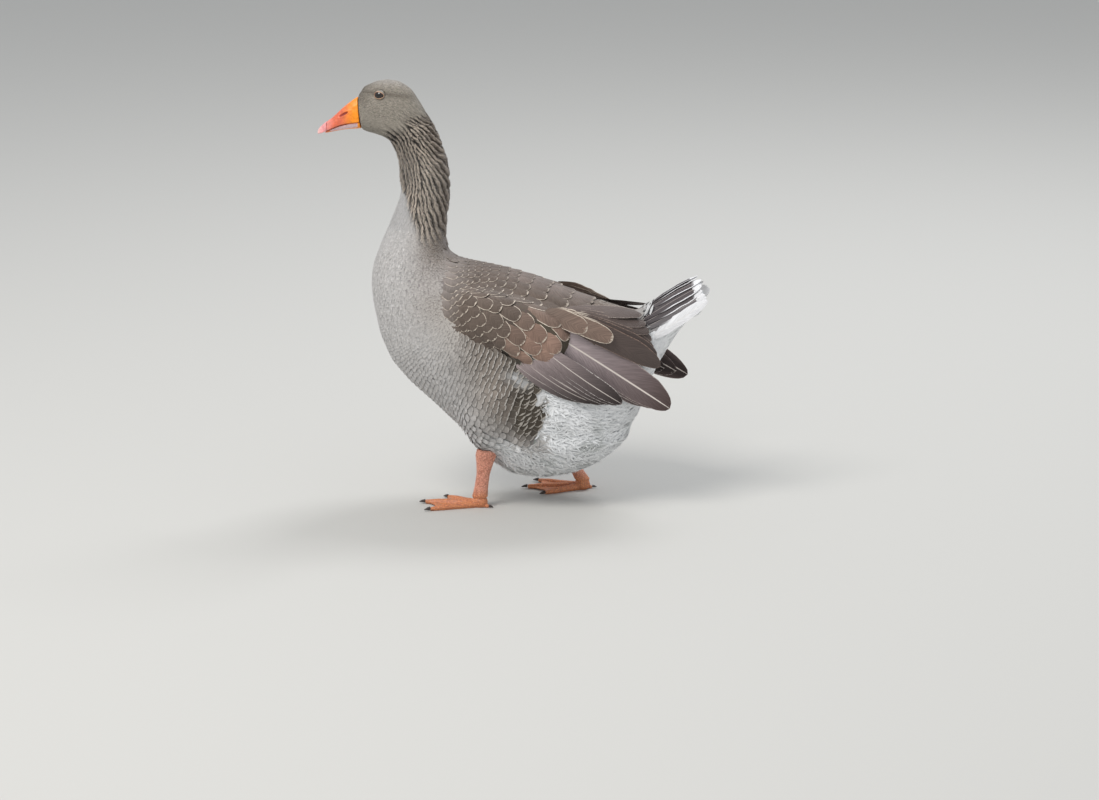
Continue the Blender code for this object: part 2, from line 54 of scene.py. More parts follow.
CAMERA_AIM, LAMP_AIM = Vector((-0.0389, 0.0541, 0.1365)), Vector((0, 0, 0.3))
LAMPS = (("key_lamp", (2.3, -1.7, 3.9), 135, 2.0, (1.0, 0.975, 0.94)),
         ("edge_lamp", (-2.0, 1.2, 3.4), 60, 1.4, (0.97, 0.98, 1.0)))
SKY_COLOUR, SKY_STRENGTH = (0.93, 0.96, 1.0, 1), 0.62


def add_node(tree, kind, inputs, **settings):
    """Adds a shader node. Each input is a value, or the output of another node that feeds it."""
    made = tree.nodes.new(kind)
    for title, value in settings.items():
        setattr(made, title, value)
    for title, value in inputs.items():
        if isinstance(value, bpy.types.NodeSocket):
            tree.links.new(value, made.inputs[title])
        else:
            made.inputs[title].default_value = value
    return made


def plain_material(name, colour, roughness, more=()):
    """A material of one colour, with more inputs of its shader set. Returns its node tree and shader too."""
    made = bpy.data.materials.new(name)
    made.use_nodes = True
    shader = made.node_tree.nodes["Principled BSDF"]
    for title, value in {"Base Color": (*colour, 1), "Roughness": roughness, **dict(more)}.items():
        shader.inputs[title].default_value = value
    return made, made.node_tree, shader


def srgb(*levels):
    """A colour given as 0 to 255 screen levels, as linear light."""
    share = np.array(levels, float) / 255
    return np.where(share <= 0.04045, share / 12.92, ((share + 0.055) / 1.055) ** 2.4)


def link_object(name, data):
    made = bpy.data.objects.new(name, data)
    bpy.context.scene.collection.objects.link(made)
    return made


floor_mesh = bpy.data.meshes.new("floor")
floor_mesh.from_pydata([(HALF_FLOOR * x, HALF_FLOOR * y, 0) for x, y in ((-1, -1), (1, -1), (1, 1), (-1, 1))],
                       [], [(0, 1, 2, 3)])
floor = link_object("floor", floor_mesh)
floor_paint, tree, shader = plain_material("pale_floor", srgb(196, 195, 191), 0.9)
cloud = add_node(tree, "ShaderNodeTexNoise", {"Scale": 0.7})
cloud_tone = add_node(tree, "ShaderNodeMapRange",
                      {"To Min": 0.86, "To Max": 0.92, "Value": cloud.outputs["Fac"]})
tree.links.new(cloud_tone.outputs["Result"], shader.inputs["Roughness"])
floor.data.materials.append(floor_paint)

back_of_view = Vector((math.sin(CAMERA_AZIMUTH) * math.cos(CAMERA_HEIGHT),
                       -math.cos(CAMERA_AZIMUTH) * math.cos(CAMERA_HEIGHT), math.sin(CAMERA_HEIGHT)))
camera = link_object("camera", bpy.data.cameras.new("camera"))
camera.data.sensor_width, camera.data.lens = SENSOR, CAMERA_LENS
camera.location = CAMERA_AIM + back_of_view * CAMERA_DISTANCE
camera.rotation_euler = back_of_view.to_track_quat("Z", "Y").to_euler()
bpy.context.scene.camera = camera

for lamp_name, place, power, size, tone in LAMPS:
    lamp = link_object(lamp_name, bpy.data.lights.new(lamp_name, "AREA"))
    lamp.data.energy, lamp.data.size, lamp.data.color = power, size, tone
    lamp.location = place
    lamp.rotation_euler = (Vector(place) - LAMP_AIM).to_track_quat("Z", "Y").to_euler()
sky = bpy.data.worlds.new("sky")
sky.use_nodes = True
sky.node_tree.nodes["Background"].inputs["Color"].default_value = SKY_COLOUR
sky.node_tree.nodes["Background"].inputs["Strength"].default_value = SKY_STRENGTH
bpy.context.scene.world = sky
bpy.context.scene.view_settings.view_transform = "Standard"

# ------------------------------------------------------------------ the skin
# One soft hide over head, neck, trunk, thighs and the folded arms of the wings. It is made from the solids
# of flesh, evened out, drawn in by the coat's depth, furrowed on the neck, and coloured as the coat is.
FLESH = ("head", "neck", "trunk", "tail_coverts", "thigh_left", "thigh_right",
         "wing_left_coverts", "wing_right_coverts")
SKIN_GRAIN = 2.9 * MM
# The line that the coat runs along, back and up in the middle plane, from the face down the neck to the tail.
SPINE = np.array([(-216, 560), (-175, 566), (-142, 545), (-128, 505), (-122, 470), (-125, 440), (-133, 405),
                  (-140, 365), (-135, 310), (-105, 260), (-50, 235), (30, 205), (100, 185), (160, 200),
                  (215, 250), (265, 305)], float) * MM
SPINE_STEPS, SPINE_BLUR = 12, 14 * MM
FURROW_TOP, FURROW_END = 548 * MM, 374 * MM
FURROW_PITCH, SIDE_CROWDING = math.radians(14), 0.45
FURROW_DEPTH, FURROW_START, CREST_LEVEL = 4.4 * MM, 0.09, 0.72
UPRIGHT_TWIST, SLANTED_TWIST, TWIST_LOSS = 16.0, 98.0, 330.0
FACE_START, FACE_END = -206, -192  # mm along the bird, where the face meets the bill


def joined_copy(name, node_names):
    """One object that holds copies of several CAD nodes' meshes."""
    gathered = bmesh.new()
    for node_name in node_names:
        gathered.from_mesh(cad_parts[node_name].data)
    mesh = bpy.data.meshes.new(name)
    gathered.to_mesh(mesh)
    gathered.free()
    return link_object(name, mesh)


def evened(piece, grain):
    """Gives the piece one closed surface of small even faces, and keeps its largest shell."""
    even = piece.modifiers.new("even", "REMESH")
    even.mode, even.voxel_size = "VOXEL", grain
    mesh = bpy.data.meshes.new_from_object(piece.evaluated_get(bpy.context.evaluated_depsgraph_get()))
    piece.modifiers.clear()
    piece.data = mesh
    shell = bmesh.new()
    shell.from_mesh(mesh)
    seen, largest = set(), set()
    for vert in shell.verts:
        if vert in seen:
            continue
        island, front = set(), {vert}
        while front:
            island |= front
            front = {other for near in front for edge in near.link_edges for other in edge.verts} - island
        seen |= island
        largest = max(largest, island, key=len)
    bmesh.ops.delete(shell, geom=[vert for vert in shell.verts if vert not in largest], context="VERTS")
    shell.to_mesh(mesh)
    shell.free()
    return piece


def read_vectors(items, title):
    flat = np.empty(len(items) * 3)
    items.foreach_get(title, flat)
    return flat.reshape(-1, 3)


def spots(mesh):
    return read_vectors(mesh.vertices, "co")


def facing(mesh):
    return read_vectors(mesh.vertex_normals, "vector")


def put_spots(mesh, points):
    mesh.vertices.foreach_set("co", np.ascontiguousarray(points, np.float32).ravel())
    mesh.update()


def relaxed(mesh, points, strength, passes):
    """Points drawn towards the middle of their neighbours, each by its own strength."""
    pairs = np.empty(len(mesh.edges) * 2, np.int32)
    mesh.edges.foreach_get("vertices", pairs)
    pairs = pairs.reshape(-1, 2)
    ends, others = np.concatenate([pairs, pairs[:, ::-1]]).T
    count = np.maximum(np.bincount(ends, minlength=len(points)), 1)[:, None]
    for _ in range(passes):
        total = np.stack([np.bincount(ends, points[others, axis], len(points)) for axis in range(3)], 1)
        points = points + (total / count - points) * strength[:, None]
    return points


def ramp(value, start, end):
    """0 before start, 1 after end, and a smooth rise between them."""
    share = np.clip((value - start) / (end - start), 0, 1)
    return share * share * (3 - 2 * share)


def unit(vectors):
    return vectors / np.maximum(np.linalg.norm(vectors, axis=-1, keepdims=True), 1e-9)


def levels(points):
    """How far points are from the middle plane, along the bird and above the floor, in millimetres."""
    return np.abs(points[:, 0]) / MM, points[:, 1] / MM, points[:, 2] / MM


def smooth_line(points, steps):
    """A smooth curve through the points, with a number of steps between each two."""
    padded = np.vstack([2 * points[0] - points[1], points, 2 * points[-1] - points[-2]])
    made = []
    for a, b, c, d in zip(padded, padded[1:], padded[2:], padded[3:]):
        for step in range(steps):
            t = step / steps
            made.append(0.5 * (2 * b + (c - a) * t + (2 * a - 5 * b + 4 * c - d) * t ** 2
                               + (3 * b - a - 3 * c + d) * t ** 3))
    return np.array(made + [points[-1]])


spine_line = smooth_line(SPINE, SPINE_STEPS)
spine_way = unit(np.gradient(spine_line, axis=0))
spine_run = np.concatenate([[0], np.cumsum(np.linalg.norm(np.diff(spine_line, axis=0), axis=1))])


def body_place(points):
    """Where points lie: how far along the body, how far round from breast or belly, and its run there."""
    flat = points[:, 1:]
    gap = ((flat[:, None, :] - spine_line[None]) ** 2).sum(-1)
    near = gap.argmin(1)
    weight = np.exp(-(gap - gap.min(1, keepdims=True)) / SPINE_BLUR ** 2)
    weight /= weight.sum(1, keepdims=True)
    way = unit(weight @ spine_way)
    off = flat - spine_line[near]
    under = off[:, 0] * way[:, 1] - off[:, 1] * way[:, 0]
    run = np.stack([np.zeros(len(points)), way[:, 0], way[:, 1]], 1)
    return weight @ spine_run, np.arctan2(points[:, 0], under), run


def cloudy(points, size, seed=0.0):
    """A smooth random value from about -1 to 1 for each point, with lumps of the given size."""
    return np.array([noise.noise(Vector(point) / size + Vector((seed, 3.7 * seed, 0))) for point in points])


def furrows(points, along, round_body):
    """The neck's ridges at each point: how furrowed it is, how high on a ridge, and its share in the rear
    set. The front set runs upright and the rear one slants, both as a phase that winds along the neck."""
    height, turn = points[:, 2], np.abs(round_body)
    top = FURROW_TOP + 18 * MM * ramp(turn, math.radians(60), math.radians(120))
    amount = ramp(height, FURROW_END, FURROW_END + 26 * MM) * ramp(top - height, 0, 16 * MM)
    front = np.radians(np.interp(height / MM, (379, 400, 424, 449, 466), (112, 104, 76, 46, -14)))
    amount = (amount * ramp(turn - front, math.radians(-9), math.radians(9))
              * ramp(points[:, 1], -182 * MM, -168 * MM))
    wander = cloudy(points, 22 * MM) * 0.46 + cloudy(points, 8 * MM, 5.0) * 0.24
    past = along - FURROW_START
    round_phase = (turn - SIDE_CROWDING / 2 * np.sin(2 * turn)) / FURROW_PITCH
    upright = round_phase - past * UPRIGHT_TWIST + wander
    slanted = round_phase - (SLANTED_TWIST - TWIST_LOSS * past / 2) * past + wander
    seam = turn + cloudy(points, 14 * MM, 9.0) * 0.16
    part = ramp(seam, math.radians(86), math.radians(94))
    wave = [0.5 + 0.5 * np.cos(2 * np.pi * phase) for phase in (upright, slanted)]
    return amount, wave[0] * (1 - part) + wave[1] * part, part


def coat_depth(points):
    """How far the skin lies under the outline: more in the belly's down and under the wing's long feathers,
    less on neck and head, and least at the shanks, the tail's end and the bill."""
    x, y, z = levels(points)
    deep = 4.6 + 0 * y
    deep += 3.2 * ramp(y, 30, 90) * (1 - ramp(z, 170, 235))
    deep += 15 * (ramp(y, 76, 98) * ramp(x, 48, 70) * ramp(z, 196, 212) * (1 - ramp(z, 292, 306)))
    deep -= 1.4 * ramp(z, 395, 430)
    deep -= 1.7 * ramp(z, 510, 545)
    thin = np.maximum(1 - ramp(z, 92, 116), ramp(y, 236, 262))
    thin = np.maximum(thin, 1 - ramp(y, -208, -190))
    return (deep * (1 - thin) + 0.9 * thin) * MM


# The solids' seams are relaxed away, except at the wing's rim, before the hide is drawn in.
skin = evened(joined_copy("skin", FLESH), SKIN_GRAIN)
skin_points = spots(skin.data)
_, run_y, rise_z = levels(skin_points)
trunk_share = 1 - ramp(rise_z, 380, 470)
wing_rim = (ramp(np.abs(skin_points[:, 0]), 78 * MM, 92 * MM) * ramp(rise_z, 205, 225)
            * (1 - ramp(rise_z, 262, 285)) * ramp(run_y, -95, -60))
face_share = ramp(run_y, FACE_START, FACE_END)
skin_points = relaxed(skin.data, skin_points, 0.5 * trunk_share * (1 - 0.8 * wing_rim), 40)
skin_points = relaxed(skin.data, skin_points, 0.5 * face_share, 7)
put_spots(skin.data, skin_points)
skin_points = skin_points - facing(skin.data) * coat_depth(skin_points)[:, None]
skin_points = relaxed(skin.data, skin_points, 0.4 * face_share, 4)
put_spots(skin.data, skin_points)

# The neck's faces are made half as large, so that they can carry its ridges.
finer = bmesh.new()
finer.from_mesh(skin.data)
neck_edges = [edge for edge in finer.edges
              if all(FURROW_END - 0.01 < vert.co.z < FURROW_TOP + 0.01 and vert.co.y < -0.06
                     for vert in edge.verts)]
bmesh.ops.subdivide_edges(finer, edges=neck_edges, cuts=1, use_grid_fill=True)
finer.to_mesh(skin.data)
finer.free()
skin_points = spots(skin.data)
along, round_body, _ = body_place(skin_points)
furrowed, ridge, _ = furrows(skin_points, along, round_body)
crest = (ridge ** 0.8 - CREST_LEVEL) * furrowed * FURROW_DEPTH
put_spots(skin.data, skin_points + facing(skin.data) * crest[:, None])
skin.data.shade_smooth()

skin.data.calc_loop_triangles()
corners = np.empty(len(skin.data.loop_triangles) * 3, np.int32)
skin.data.loop_triangles.foreach_get("vertices", corners)
corners = corners.reshape(-1, 3)
skin_points = spots(skin.data)
patch_middle = skin_points[corners].mean(1)
patch_facing = unit(facing(skin.data)[corners].mean(1))
patch_area = np.linalg.norm(np.cross(skin_points[corners[:, 1]] - skin_points[corners[:, 0]],
                                     skin_points[corners[:, 2]] - skin_points[corners[:, 0]]), axis=1) / 2
hide = BVHTree.FromPolygons(skin_points.tolist(), corners.tolist())
_, patch_y, patch_height = levels(patch_middle)

HEAD_GREY, LIT_CROWN, BROW = srgb(147, 140, 129), srgb(166, 160, 153), srgb(100, 92, 82)
RIDGE, GROOVE_SHADE, NAPE = srgb(184, 171, 157), srgb(26, 21, 18), srgb(104, 91, 80)
NECK_FRONT, BREAST, SHOULDER = srgb(174, 173, 173), srgb(181, 179, 178), srgb(152, 144, 139)
FLANK, THIGH_BROWN, MANTLE = srgb(128, 119, 111), srgb(60, 53, 44), srgb(108, 95, 86)
WHITE, SMUDGE_AND_SHADE, CREAM = srgb(240, 241, 242), srgb(186, 189, 187), srgb(214, 206, 196)


def mixed(first, second, share):
    return first + (second - first) * np.asarray(share)[..., None]


def head_level(y, z):
    """Height in millimetres above the slanting line where the head's coat meets the neck's."""
    return z + 0.12 * (y + 140)


def markings(places):
    """The coat's colour at each place, with the colour and the strength of its feathers' pale edges: pale
    breast, ridged brown neck, grey head, flanks that darken to the thigh, brown back, white rear."""
    along, round_body, _ = body_place(places)
    x, y, z = levels(places)
    turn = np.degrees(np.abs(round_body))
    colour = mixed(BREAST, NECK_FRONT, ramp(z, 350, 420) * (1 - ramp(turn, 55, 95)))
    edge, amount = mixed(colour, CREAM, np.full(len(places), 0.5)), np.full(len(places), 0.35)
    colour = mixed(colour, SHOULDER, 0.7 * ramp(turn, 60, 120) * ramp(z, 250, 300) * ramp(y, -170, -110))
    colour = mixed(colour, NAPE, ramp(turn, 95, 140) * ramp(z, 320, 380))

    furrowed, ridge, _ = furrows(places, along, round_body)
    # The furrows between the ridges are painted near black: painted shade in the neck's grooves.
    ridged = mixed(mixed(GROOVE_SHADE, RIDGE, ramp(ridge, 0.5, 0.97)), NAPE, 0.5 * ramp(turn, 115, 160))
    # The front of the upper neck is darkened: painted shade under the chin.
    ridged = ridged * (1 - 0.38 * ramp(z, 440, 480) * (1 - ramp(turn, 55, 100)))[:, None]
    head = ramp(head_level(y, z), 492, 520)
    # The very top of the head is painted lighter: painted light falling from above.
    face = mixed(HEAD_GREY, LIT_CROWN, ramp(z, 595, 607))
    brow_line = (np.exp(-((z - 589 + 0.05 * (y + 180)) / 3.6) ** 2) * ramp(y, -216, -208)
                 * (1 - ramp(y, -146, -128)))
    forehead = ramp(z, 566, 580) * (1 - ramp(y, FACE_START, FACE_END))
    face = mixed(face, BROW, np.maximum(0.75 * brow_line, 0.5 * forehead))
    colour = mixed(mixed(colour, face, head), ridged, furrowed)

    flank = ramp(y + 0.3 * (z - 200), -110, -20) * (1 - ramp(z, 300, 330)) * ramp(turn, 25, 60)
    colour = mixed(colour, FLANK, flank)
    amount = amount + 0.5 * flank * (1 - head)
    dark = ramp(y, -18, 12) * ramp(z, 104, 140)
    colour = mixed(colour, THIGH_BROWN, 0.95 * dark)
    edge = mixed(edge, CREAM * 0.72, dark)
    pale_patch = np.exp(-((y - 9) / 16) ** 2 - ((z - 210) / 8) ** 2)
    colour = mixed(colour, WHITE * 0.72, 0.75 * pale_patch)
    back = ramp(turn, 104, 130) * ramp(y, -100, -58) * (1 - ramp(y, 165, 200))
    colour = mixed(colour, MANTLE, back)
    amount = np.maximum(amount, back * 0.8) * (1 - 0.75 * ramp(y, 105, 120) * ramp(z, 235, 250))

    drift = 5 * np.sin(z * 0.11) + 3 * np.sin(z * 0.31 + 1.0)
    white = ramp(y + drift, 38, 52) * (1 - back)
    low = (1 - ramp(z + 0.25 * y, 92, 116)) * ramp(y, -45, -8)
    # Grey smudges over the white down, growing towards the bottom of the belly, where they also stand for
    # painted shade.
    smudged_and_shaded = (ramp(cloudy(places, 17 * MM, 2.0), -0.1, 0.5) * (0.12 + 0.6 * (1 - ramp(z, 105, 150)))
               * (1 - ramp(y, 150, 200)))
    colour = mixed(colour, mixed(WHITE, SMUDGE_AND_SHADE, smudged_and_shaded), np.maximum(white, 0.85 * low))
    # Under the folded wing the coat is painted dark brown: painted shade in the gap beneath the wing's
    # feathers.
    shade_under_wing = ramp(x, 50, 70) * ramp(y, 30, 55) * (1 - ramp(y, 150, 190)) * ramp(z, 224, 236)
    colour = mixed(colour, THIGH_BROWN * 2.4, shade_under_wing)
    return colour, edge, amount * (1 - np.maximum(white, low)) * (1 - 0.7 * head)


def paint(piece, colours, title="tint"):
    """Stores a colour for each vertex, from which the materials read the markings."""
    layer = piece.data.attributes.new(title, "FLOAT_COLOR", "POINT")
    opaque = colours if colours.shape[1] == 4 else np.concatenate([colours, np.ones((len(colours), 1))], 1)
    layer.data.foreach_set("color", opaque.astype(np.float32).ravel())


def math_node(tree, operation, *values):
    return add_node(tree, "ShaderNodeMath", dict(enumerate(values)), operation=operation).outputs[0]


def mix_node(tree, kind, share, first, second):
    mix = add_node(tree, "ShaderNodeMix", {0: share, 6: first, 7: second}, data_type="RGBA", blend_type=kind)
    return mix.outputs[2]


def scaled_node(tree, vector, share):
    scaled = add_node(tree, "ShaderNodeVectorMath", {0: vector, "Scale": share}, operation="SCALE")
    return scaled.outputs[0]


def step_node(tree, source, start, end, low=0.0, high=1.0):
    """A smooth step from low to high as the source goes from start to end."""
    ends = {"Value": source, "From Min": start, "From Max": end, "To Min": low, "To Max": high}
    return add_node(tree, "ShaderNodeMapRange", ends, interpolation_type="SMOOTHSTEP").outputs["Result"]


def noise_node(tree, scale, **more):
    """Fine noise fixed to the object's own space."""
    place = add_node(tree, "ShaderNodeTexCoord", {})
    return add_node(tree, "ShaderNodeTexNoise", {"Scale": scale, "Vector": place.outputs["Object"], **more})


def tint_node(tree, title="tint"):
    return add_node(tree, "ShaderNodeAttribute", {}, attribute_name=title)


def new_group(name, **inputs):
    """A node group that takes numbers and puts out a colour and a normal. Returns what it is given and its
    results too."""
    group = bpy.data.node_groups.new(name, "ShaderNodeTree")
    for title, value in inputs.items():
        socket = group.interface.new_socket(title.replace("_", " "), in_out="INPUT",
                                            socket_type="NodeSocketFloat")
        socket.default_value = value
    for title, kind in (("Color", "NodeSocketColor"), ("Normal", "NodeSocketVector")):
        group.interface.new_socket(title, in_out="OUTPUT", socket_type=kind)
    return group, add_node(group, "NodeGroupInput", {}).outputs, add_node(group, "NodeGroupOutput", {}).inputs


def grouped_material(name, group, colour, roughness, more, **settings):
    """A material that takes its colour and its relief from a node group with these settings."""
    made, tree, shader = plain_material(name, colour, roughness, more)
    inputs = {title.replace("_", " "): value for title, value in settings.items()}
    look = add_node(tree, "ShaderNodeGroup", inputs, node_tree=group)
    tree.links.new(look.outputs["Color"], shader.inputs["Base Color"])
    tree.links.new(look.outputs["Normal"], shader.inputs["Normal"])
    return made


# Fine grain for skin and horn: the piece's tint, flecked and mottled by noise that also raises it.
fine_grain, given, result = new_group("fine_grain", Scale=380.0, Fleck=0.0, Mottle=0.0, Relief=0.0)
specks = noise_node(fine_grain, given["Scale"])
flecked = mix_node(fine_grain, "MULTIPLY", given["Fleck"], tint_node(fine_grain).outputs["Color"],
                   specks.outputs["Color"])
darkest, lightest = (math_node(fine_grain, kind, 1.0, given["Mottle"]) for kind in ("SUBTRACT", "ADD"))
tone = step_node(fine_grain, specks.outputs["Fac"], 0.3, 0.7, darkest, lightest)
fine_grain.links.new(scaled_node(fine_grain, flecked, tone), result["Color"])
relief = add_node(fine_grain, "ShaderNodeBump",
                  {"Distance": given["Relief"], "Height": specks.outputs["Fac"]})
fine_grain.links.new(relief.outputs["Normal"], result["Normal"])


def dress(piece, finish, slot, *nodes):
    """Gives a piece its finish, and lets it stand in for its solids, if it has any. The slot is not used."""
    piece.data.materials.clear()
    piece.data.materials.append(finish)
    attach(piece, "root")
    if nodes:
        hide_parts(*nodes)


# The skin carries the coat's markings a tenth darker: painted shade under the feathers.
paint(skin, markings(skin_points)[0] * 0.9)
hide_finish = grouped_material("downy_skin", fine_grain, (0.3, 0.3, 0.3), 0.85, {}, Fleck=0.35, Relief=0.0006)
dress(skin, hide_finish, "pale_breast", *FLESH)

# ------------------------------------------------------------------ the head's coat
# Short, dense, plush feathers that start at the bill's edge and lie back over crown and cheek, round the
# eyes. As on the whole bird, a feather is a thin closed blade: a root, a few rings across, and a tip.
EYES = [sum(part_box(node), Vector()) / 2 for node in ("eye_left", "eye_right")]
EYE_BARE, HEAD_PITCH, HEAD_TUFT_WIDE = 7.0 * MM, 1.5 * MM, 1.6 * MM
HEAD_COAT_LEVEL = (530, 546)
TIP_LIGHTER = 0.06
# Corners across a blade, as shares of its half width and of its thickness: small tufts, then large vanes.
TUFT_SECTION = ((-1, 0), (0, 1), (1, 0))
VANE_SECTION = ((-1, 0), (-0.5, 0.75), (0, 1), (0.5, 0.75), (1, 0), (0.5, -0.35), (0, -0.5), (-0.5, -0.35))
BAKE_PATCH, BAKE_EDGE = 0.003, 0.01  # a small feather's own patch in the bake map, and the map's free edge
STREWN_EACH, CLOSEST = 5.0, 0.86  # root spots tried for each one wanted, and their least gap in pitches
BESIDE = [(x, y, z) for x in (-1, 0, 1) for y in (-1, 0, 1) for z in (-1, 0, 1)]


def knit(name, rings, root_points, tip_points, section, shares, bake_at, look, patch=(BAKE_PATCH, BAKE_PATCH),
         fade=1.5, under_shade=0.3):
    """Joins feathers into one piece. rings is feathers x rings x corners x 3; look holds a root and a tip
    colour, a fringe colour with its amount, and how pale the shaft is, for each feather."""
    count, ring_count, corner_count = rings.shape[:3]
    each = ring_count * corner_count + 2
    points = np.concatenate([root_points[:, None], rings.reshape(count, -1, 3), tip_points[:, None]], 1)
    across = np.array([0.0, *[corner[0] for corner in section] * ring_count, 0.0])
    under = np.array([0.0, *[float(corner[1] < 0) for corner in section] * ring_count, 0.0])
    length = np.array([0.0, *np.repeat(shares, corner_count), 1.0])
    rim = np.abs(across) == 1
    rim[[0, -1]] = True

    corner = np.arange(corner_count)
    after = (corner + 1) % corner_count
    last = 1 + (ring_count - 1) * corner_count
    first = 1 + corner_count * np.arange(ring_count - 1)[:, None]
    root_faces = np.stack([np.zeros_like(corner), 1 + after, 1 + corner], 1)
    tip_faces = np.stack([last + corner, last + after, np.full_like(corner, each - 1)], 1)
    ring_faces = np.stack([first + corner, first + after, first + corner_count + after,
                           first + corner_count + corner], -1)
    one = np.concatenate([root_faces.ravel(), tip_faces.ravel(), ring_faces.ravel()])
    sizes = np.array([3] * (2 * corner_count) + [4] * (ring_faces.size // 4))
    starts = np.concatenate([[0], np.cumsum(sizes)[:-1]])
    loops = (one[None] + np.arange(count)[:, None] * each).ravel().astype(np.int32)
    loop_starts = (starts[None] + np.arange(count)[:, None] * len(one)).ravel().astype(np.int32)

    mesh = bpy.data.meshes.new(name)
    mesh.vertices.add(count * each)
    mesh.vertices.foreach_set("co", points.astype(np.float32).ravel())
    mesh.loops.add(len(loops))
    mesh.polygons.add(len(loop_starts))
    mesh.polygons.foreach_set("loop_start", loop_starts)
    mesh.polygons.foreach_set("vertices", loops)
    mesh.update(calc_edges=True)
    mesh.shade_smooth()
    ends = np.empty(len(mesh.edges) * 2, np.int32)
    mesh.edges.foreach_get("vertices", ends)
    rims = np.tile(rim, count)[ends].reshape(-1, 2).all(1)
    mesh.attributes.new("sharp_edge", "BOOLEAN", "EDGE").data.foreach_set("value", rims)

    vane = np.tile(np.stack([across / 2 + 0.5, length], 1), (count, 1))
    patches = np.repeat(bake_at, each, 0) + (vane - 0.5) * patch
    for map_name, places in (("OFBake", patches), ("vane", vane)):
        layer = mesh.uv_layers.new(name=map_name)
        layer.uv.foreach_set("vector", places[loops].astype(np.float32).ravel())
    piece = link_object(name, mesh)
    share = (length ** fade)[None, :, None]
    tint = look["root"][:, None] * (1 - share) + look["tip"][:, None] * share
    tint = tint * (1 - under_shade * under)[None, :, None]
    paint(piece, tint.reshape(-1, 3))
    paint(piece, np.repeat(np.concatenate([look["fringe"], look["amount"][:, None]], 1), each, 0), "fringe")
    shaft = mesh.attributes.new("shaft", "FLOAT", "POINT")
    shaft.data.foreach_set("value", np.repeat(look["shaft"], each).astype(np.float32))
    return piece


def on_skin(targets):
    """The nearest spots of the skin to the targets, and which way it faces there."""
    hits = [hide.find_nearest(target) for target in targets]
    return np.array([hit[0] for hit in hits]), patch_facing[[hit[2] for hit in hits]]


def dotted(a, b):
    return (a * b).sum(-1, keepdims=True)


def lay(name, roots, heading, length, width, look, rise, shares=(0.35, 0.72), spread=(0.8, 1.0),
        section=TUFT_SECTION, crest=0.35, arch=0.0, hug=False, tilt=0.0, sway=None):
    """Lays feathers on the skin, from their roots along their heading, bent to its curve. rise is how high
    root and tip stand and crest how thick a feather is, in mm. shares and spread say where its rings are and
    how wide. arch bends its edges down, with hug they follow the skin, and tilt raises one. sway bends it
    sideways."""
    at, normal = on_skin(roots)
    way = unit(heading - dotted(heading, normal) * normal)
    steps = np.diff((0, *shares, 1))
    low, high = (np.asarray(end) * MM * np.ones(len(at)) for end in rise)
    root_points = at + normal * low[:, None]
    turn = np.zeros(len(at)) if sway is None else sway
    rings = []
    for index, share in enumerate((*shares, 1)):
        way = unit(way + np.cross(way, normal) * (turn * steps[index])[:, None])
        at, normal = on_skin(at + way * (length * steps[index])[:, None])
        way = unit(way - dotted(way, normal) * normal)
        lift = low + (high - low) * share
        if index == len(shares):
            tip_points = at + normal * lift[:, None]
            break
        wide = width * spread[index]
        reach = np.cross(way, normal) * (wide / 2)[:, None]
        beside = {across: on_skin(at + reach * across) for across in dict(section) if hug and across}
        ring = []
        for across, height in section:
            place, up = beside.get(across, (at + reach * across, normal))
            drop = lift + height * crest * MM - arch * across ** 2 * wide + tilt * across * MM
            ring.append(place + up * drop[:, None])
        rings.append(np.stack(ring, 1))
    along, round_body, _ = body_place(roots)
    spot = np.stack([along / spine_run[-1], round_body / (2 * math.pi) + 0.5], 1)
    span = np.maximum(spot.max(0) - spot.min(0), 1e-6)
    spot = BAKE_EDGE + (1 - 2 * BAKE_EDGE) * (spot - spot.min(0)) / span
    return knit(name, np.stack(rings, 1), root_points, tip_points, section, shares, spot, look)


def thinned(points, gap):
    """Which points are kept when none may lie nearer to a kept one than the gap given for it."""
    cell = float(gap.max())
    kept, cells = np.zeros(len(points), bool), {}
    keys = np.floor(points / cell).astype(int).tolist()
    for index, ((a, b, c), (x, y, z), near) in enumerate(zip(points.tolist(), keys, (gap ** 2).tolist())):
        others = [other for dx, dy, dz in BESIDE for other in cells.get((x + dx, y + dy, z + dz), ())]
        if all((other[0] - a) ** 2 + (other[1] - b) ** 2 + (other[2] - c) ** 2 >= near for other in others):
            kept[index] = True
            cells.setdefault((x, y, z), []).append((a, b, c))
    return kept


def scattered(share, pitch, seed):
    """Root spots strewn over the patches of skin whose share is above 0, about a pitch apart."""
    chance = np.random.default_rng(seed)
    weight = patch_area * (share > 0.01) / pitch ** 2
    total = int(weight.sum() * STREWN_EACH)
    picked = chance.choice(len(weight), total, p=weight / weight.sum())
    u, v = chance.random((2, total))
    flip = u + v > 1
    u, v = np.where(flip, 1 - u, u), np.where(flip, 1 - v, v)
    tri = skin_points[corners[picked]]
    strewn = tri[:, 0] + (tri[:, 1] - tri[:, 0]) * u[:, None] + (tri[:, 2] - tri[:, 0]) * v[:, None]
    here = chance.random(total) < share[picked]
    picked, strewn = picked[here], strewn[here]
    kept = thinned(strewn, np.full(len(strewn), pitch * CLOSEST))
    return strewn[kept], patch_facing[picked[kept]]


def feather_look(places, seed, vary=0.08):
    """What knit() needs to colour feathers with these roots, each a little lighter or darker by chance."""
    chance = np.random.default_rng(seed)
    colour, edge, amount = markings(places)
    colour = colour * (1 + vary * chance.standard_normal(len(places)))[:, None]
    return {"root": np.clip(colour * (1 - 0.5 * TIP_LIGHTER), 0, 1),
            "tip": np.clip(colour * (1 + TIP_LIGHTER), 0, 1),
            "fringe": edge, "amount": amount, "shaft": np.zeros(len(places))}


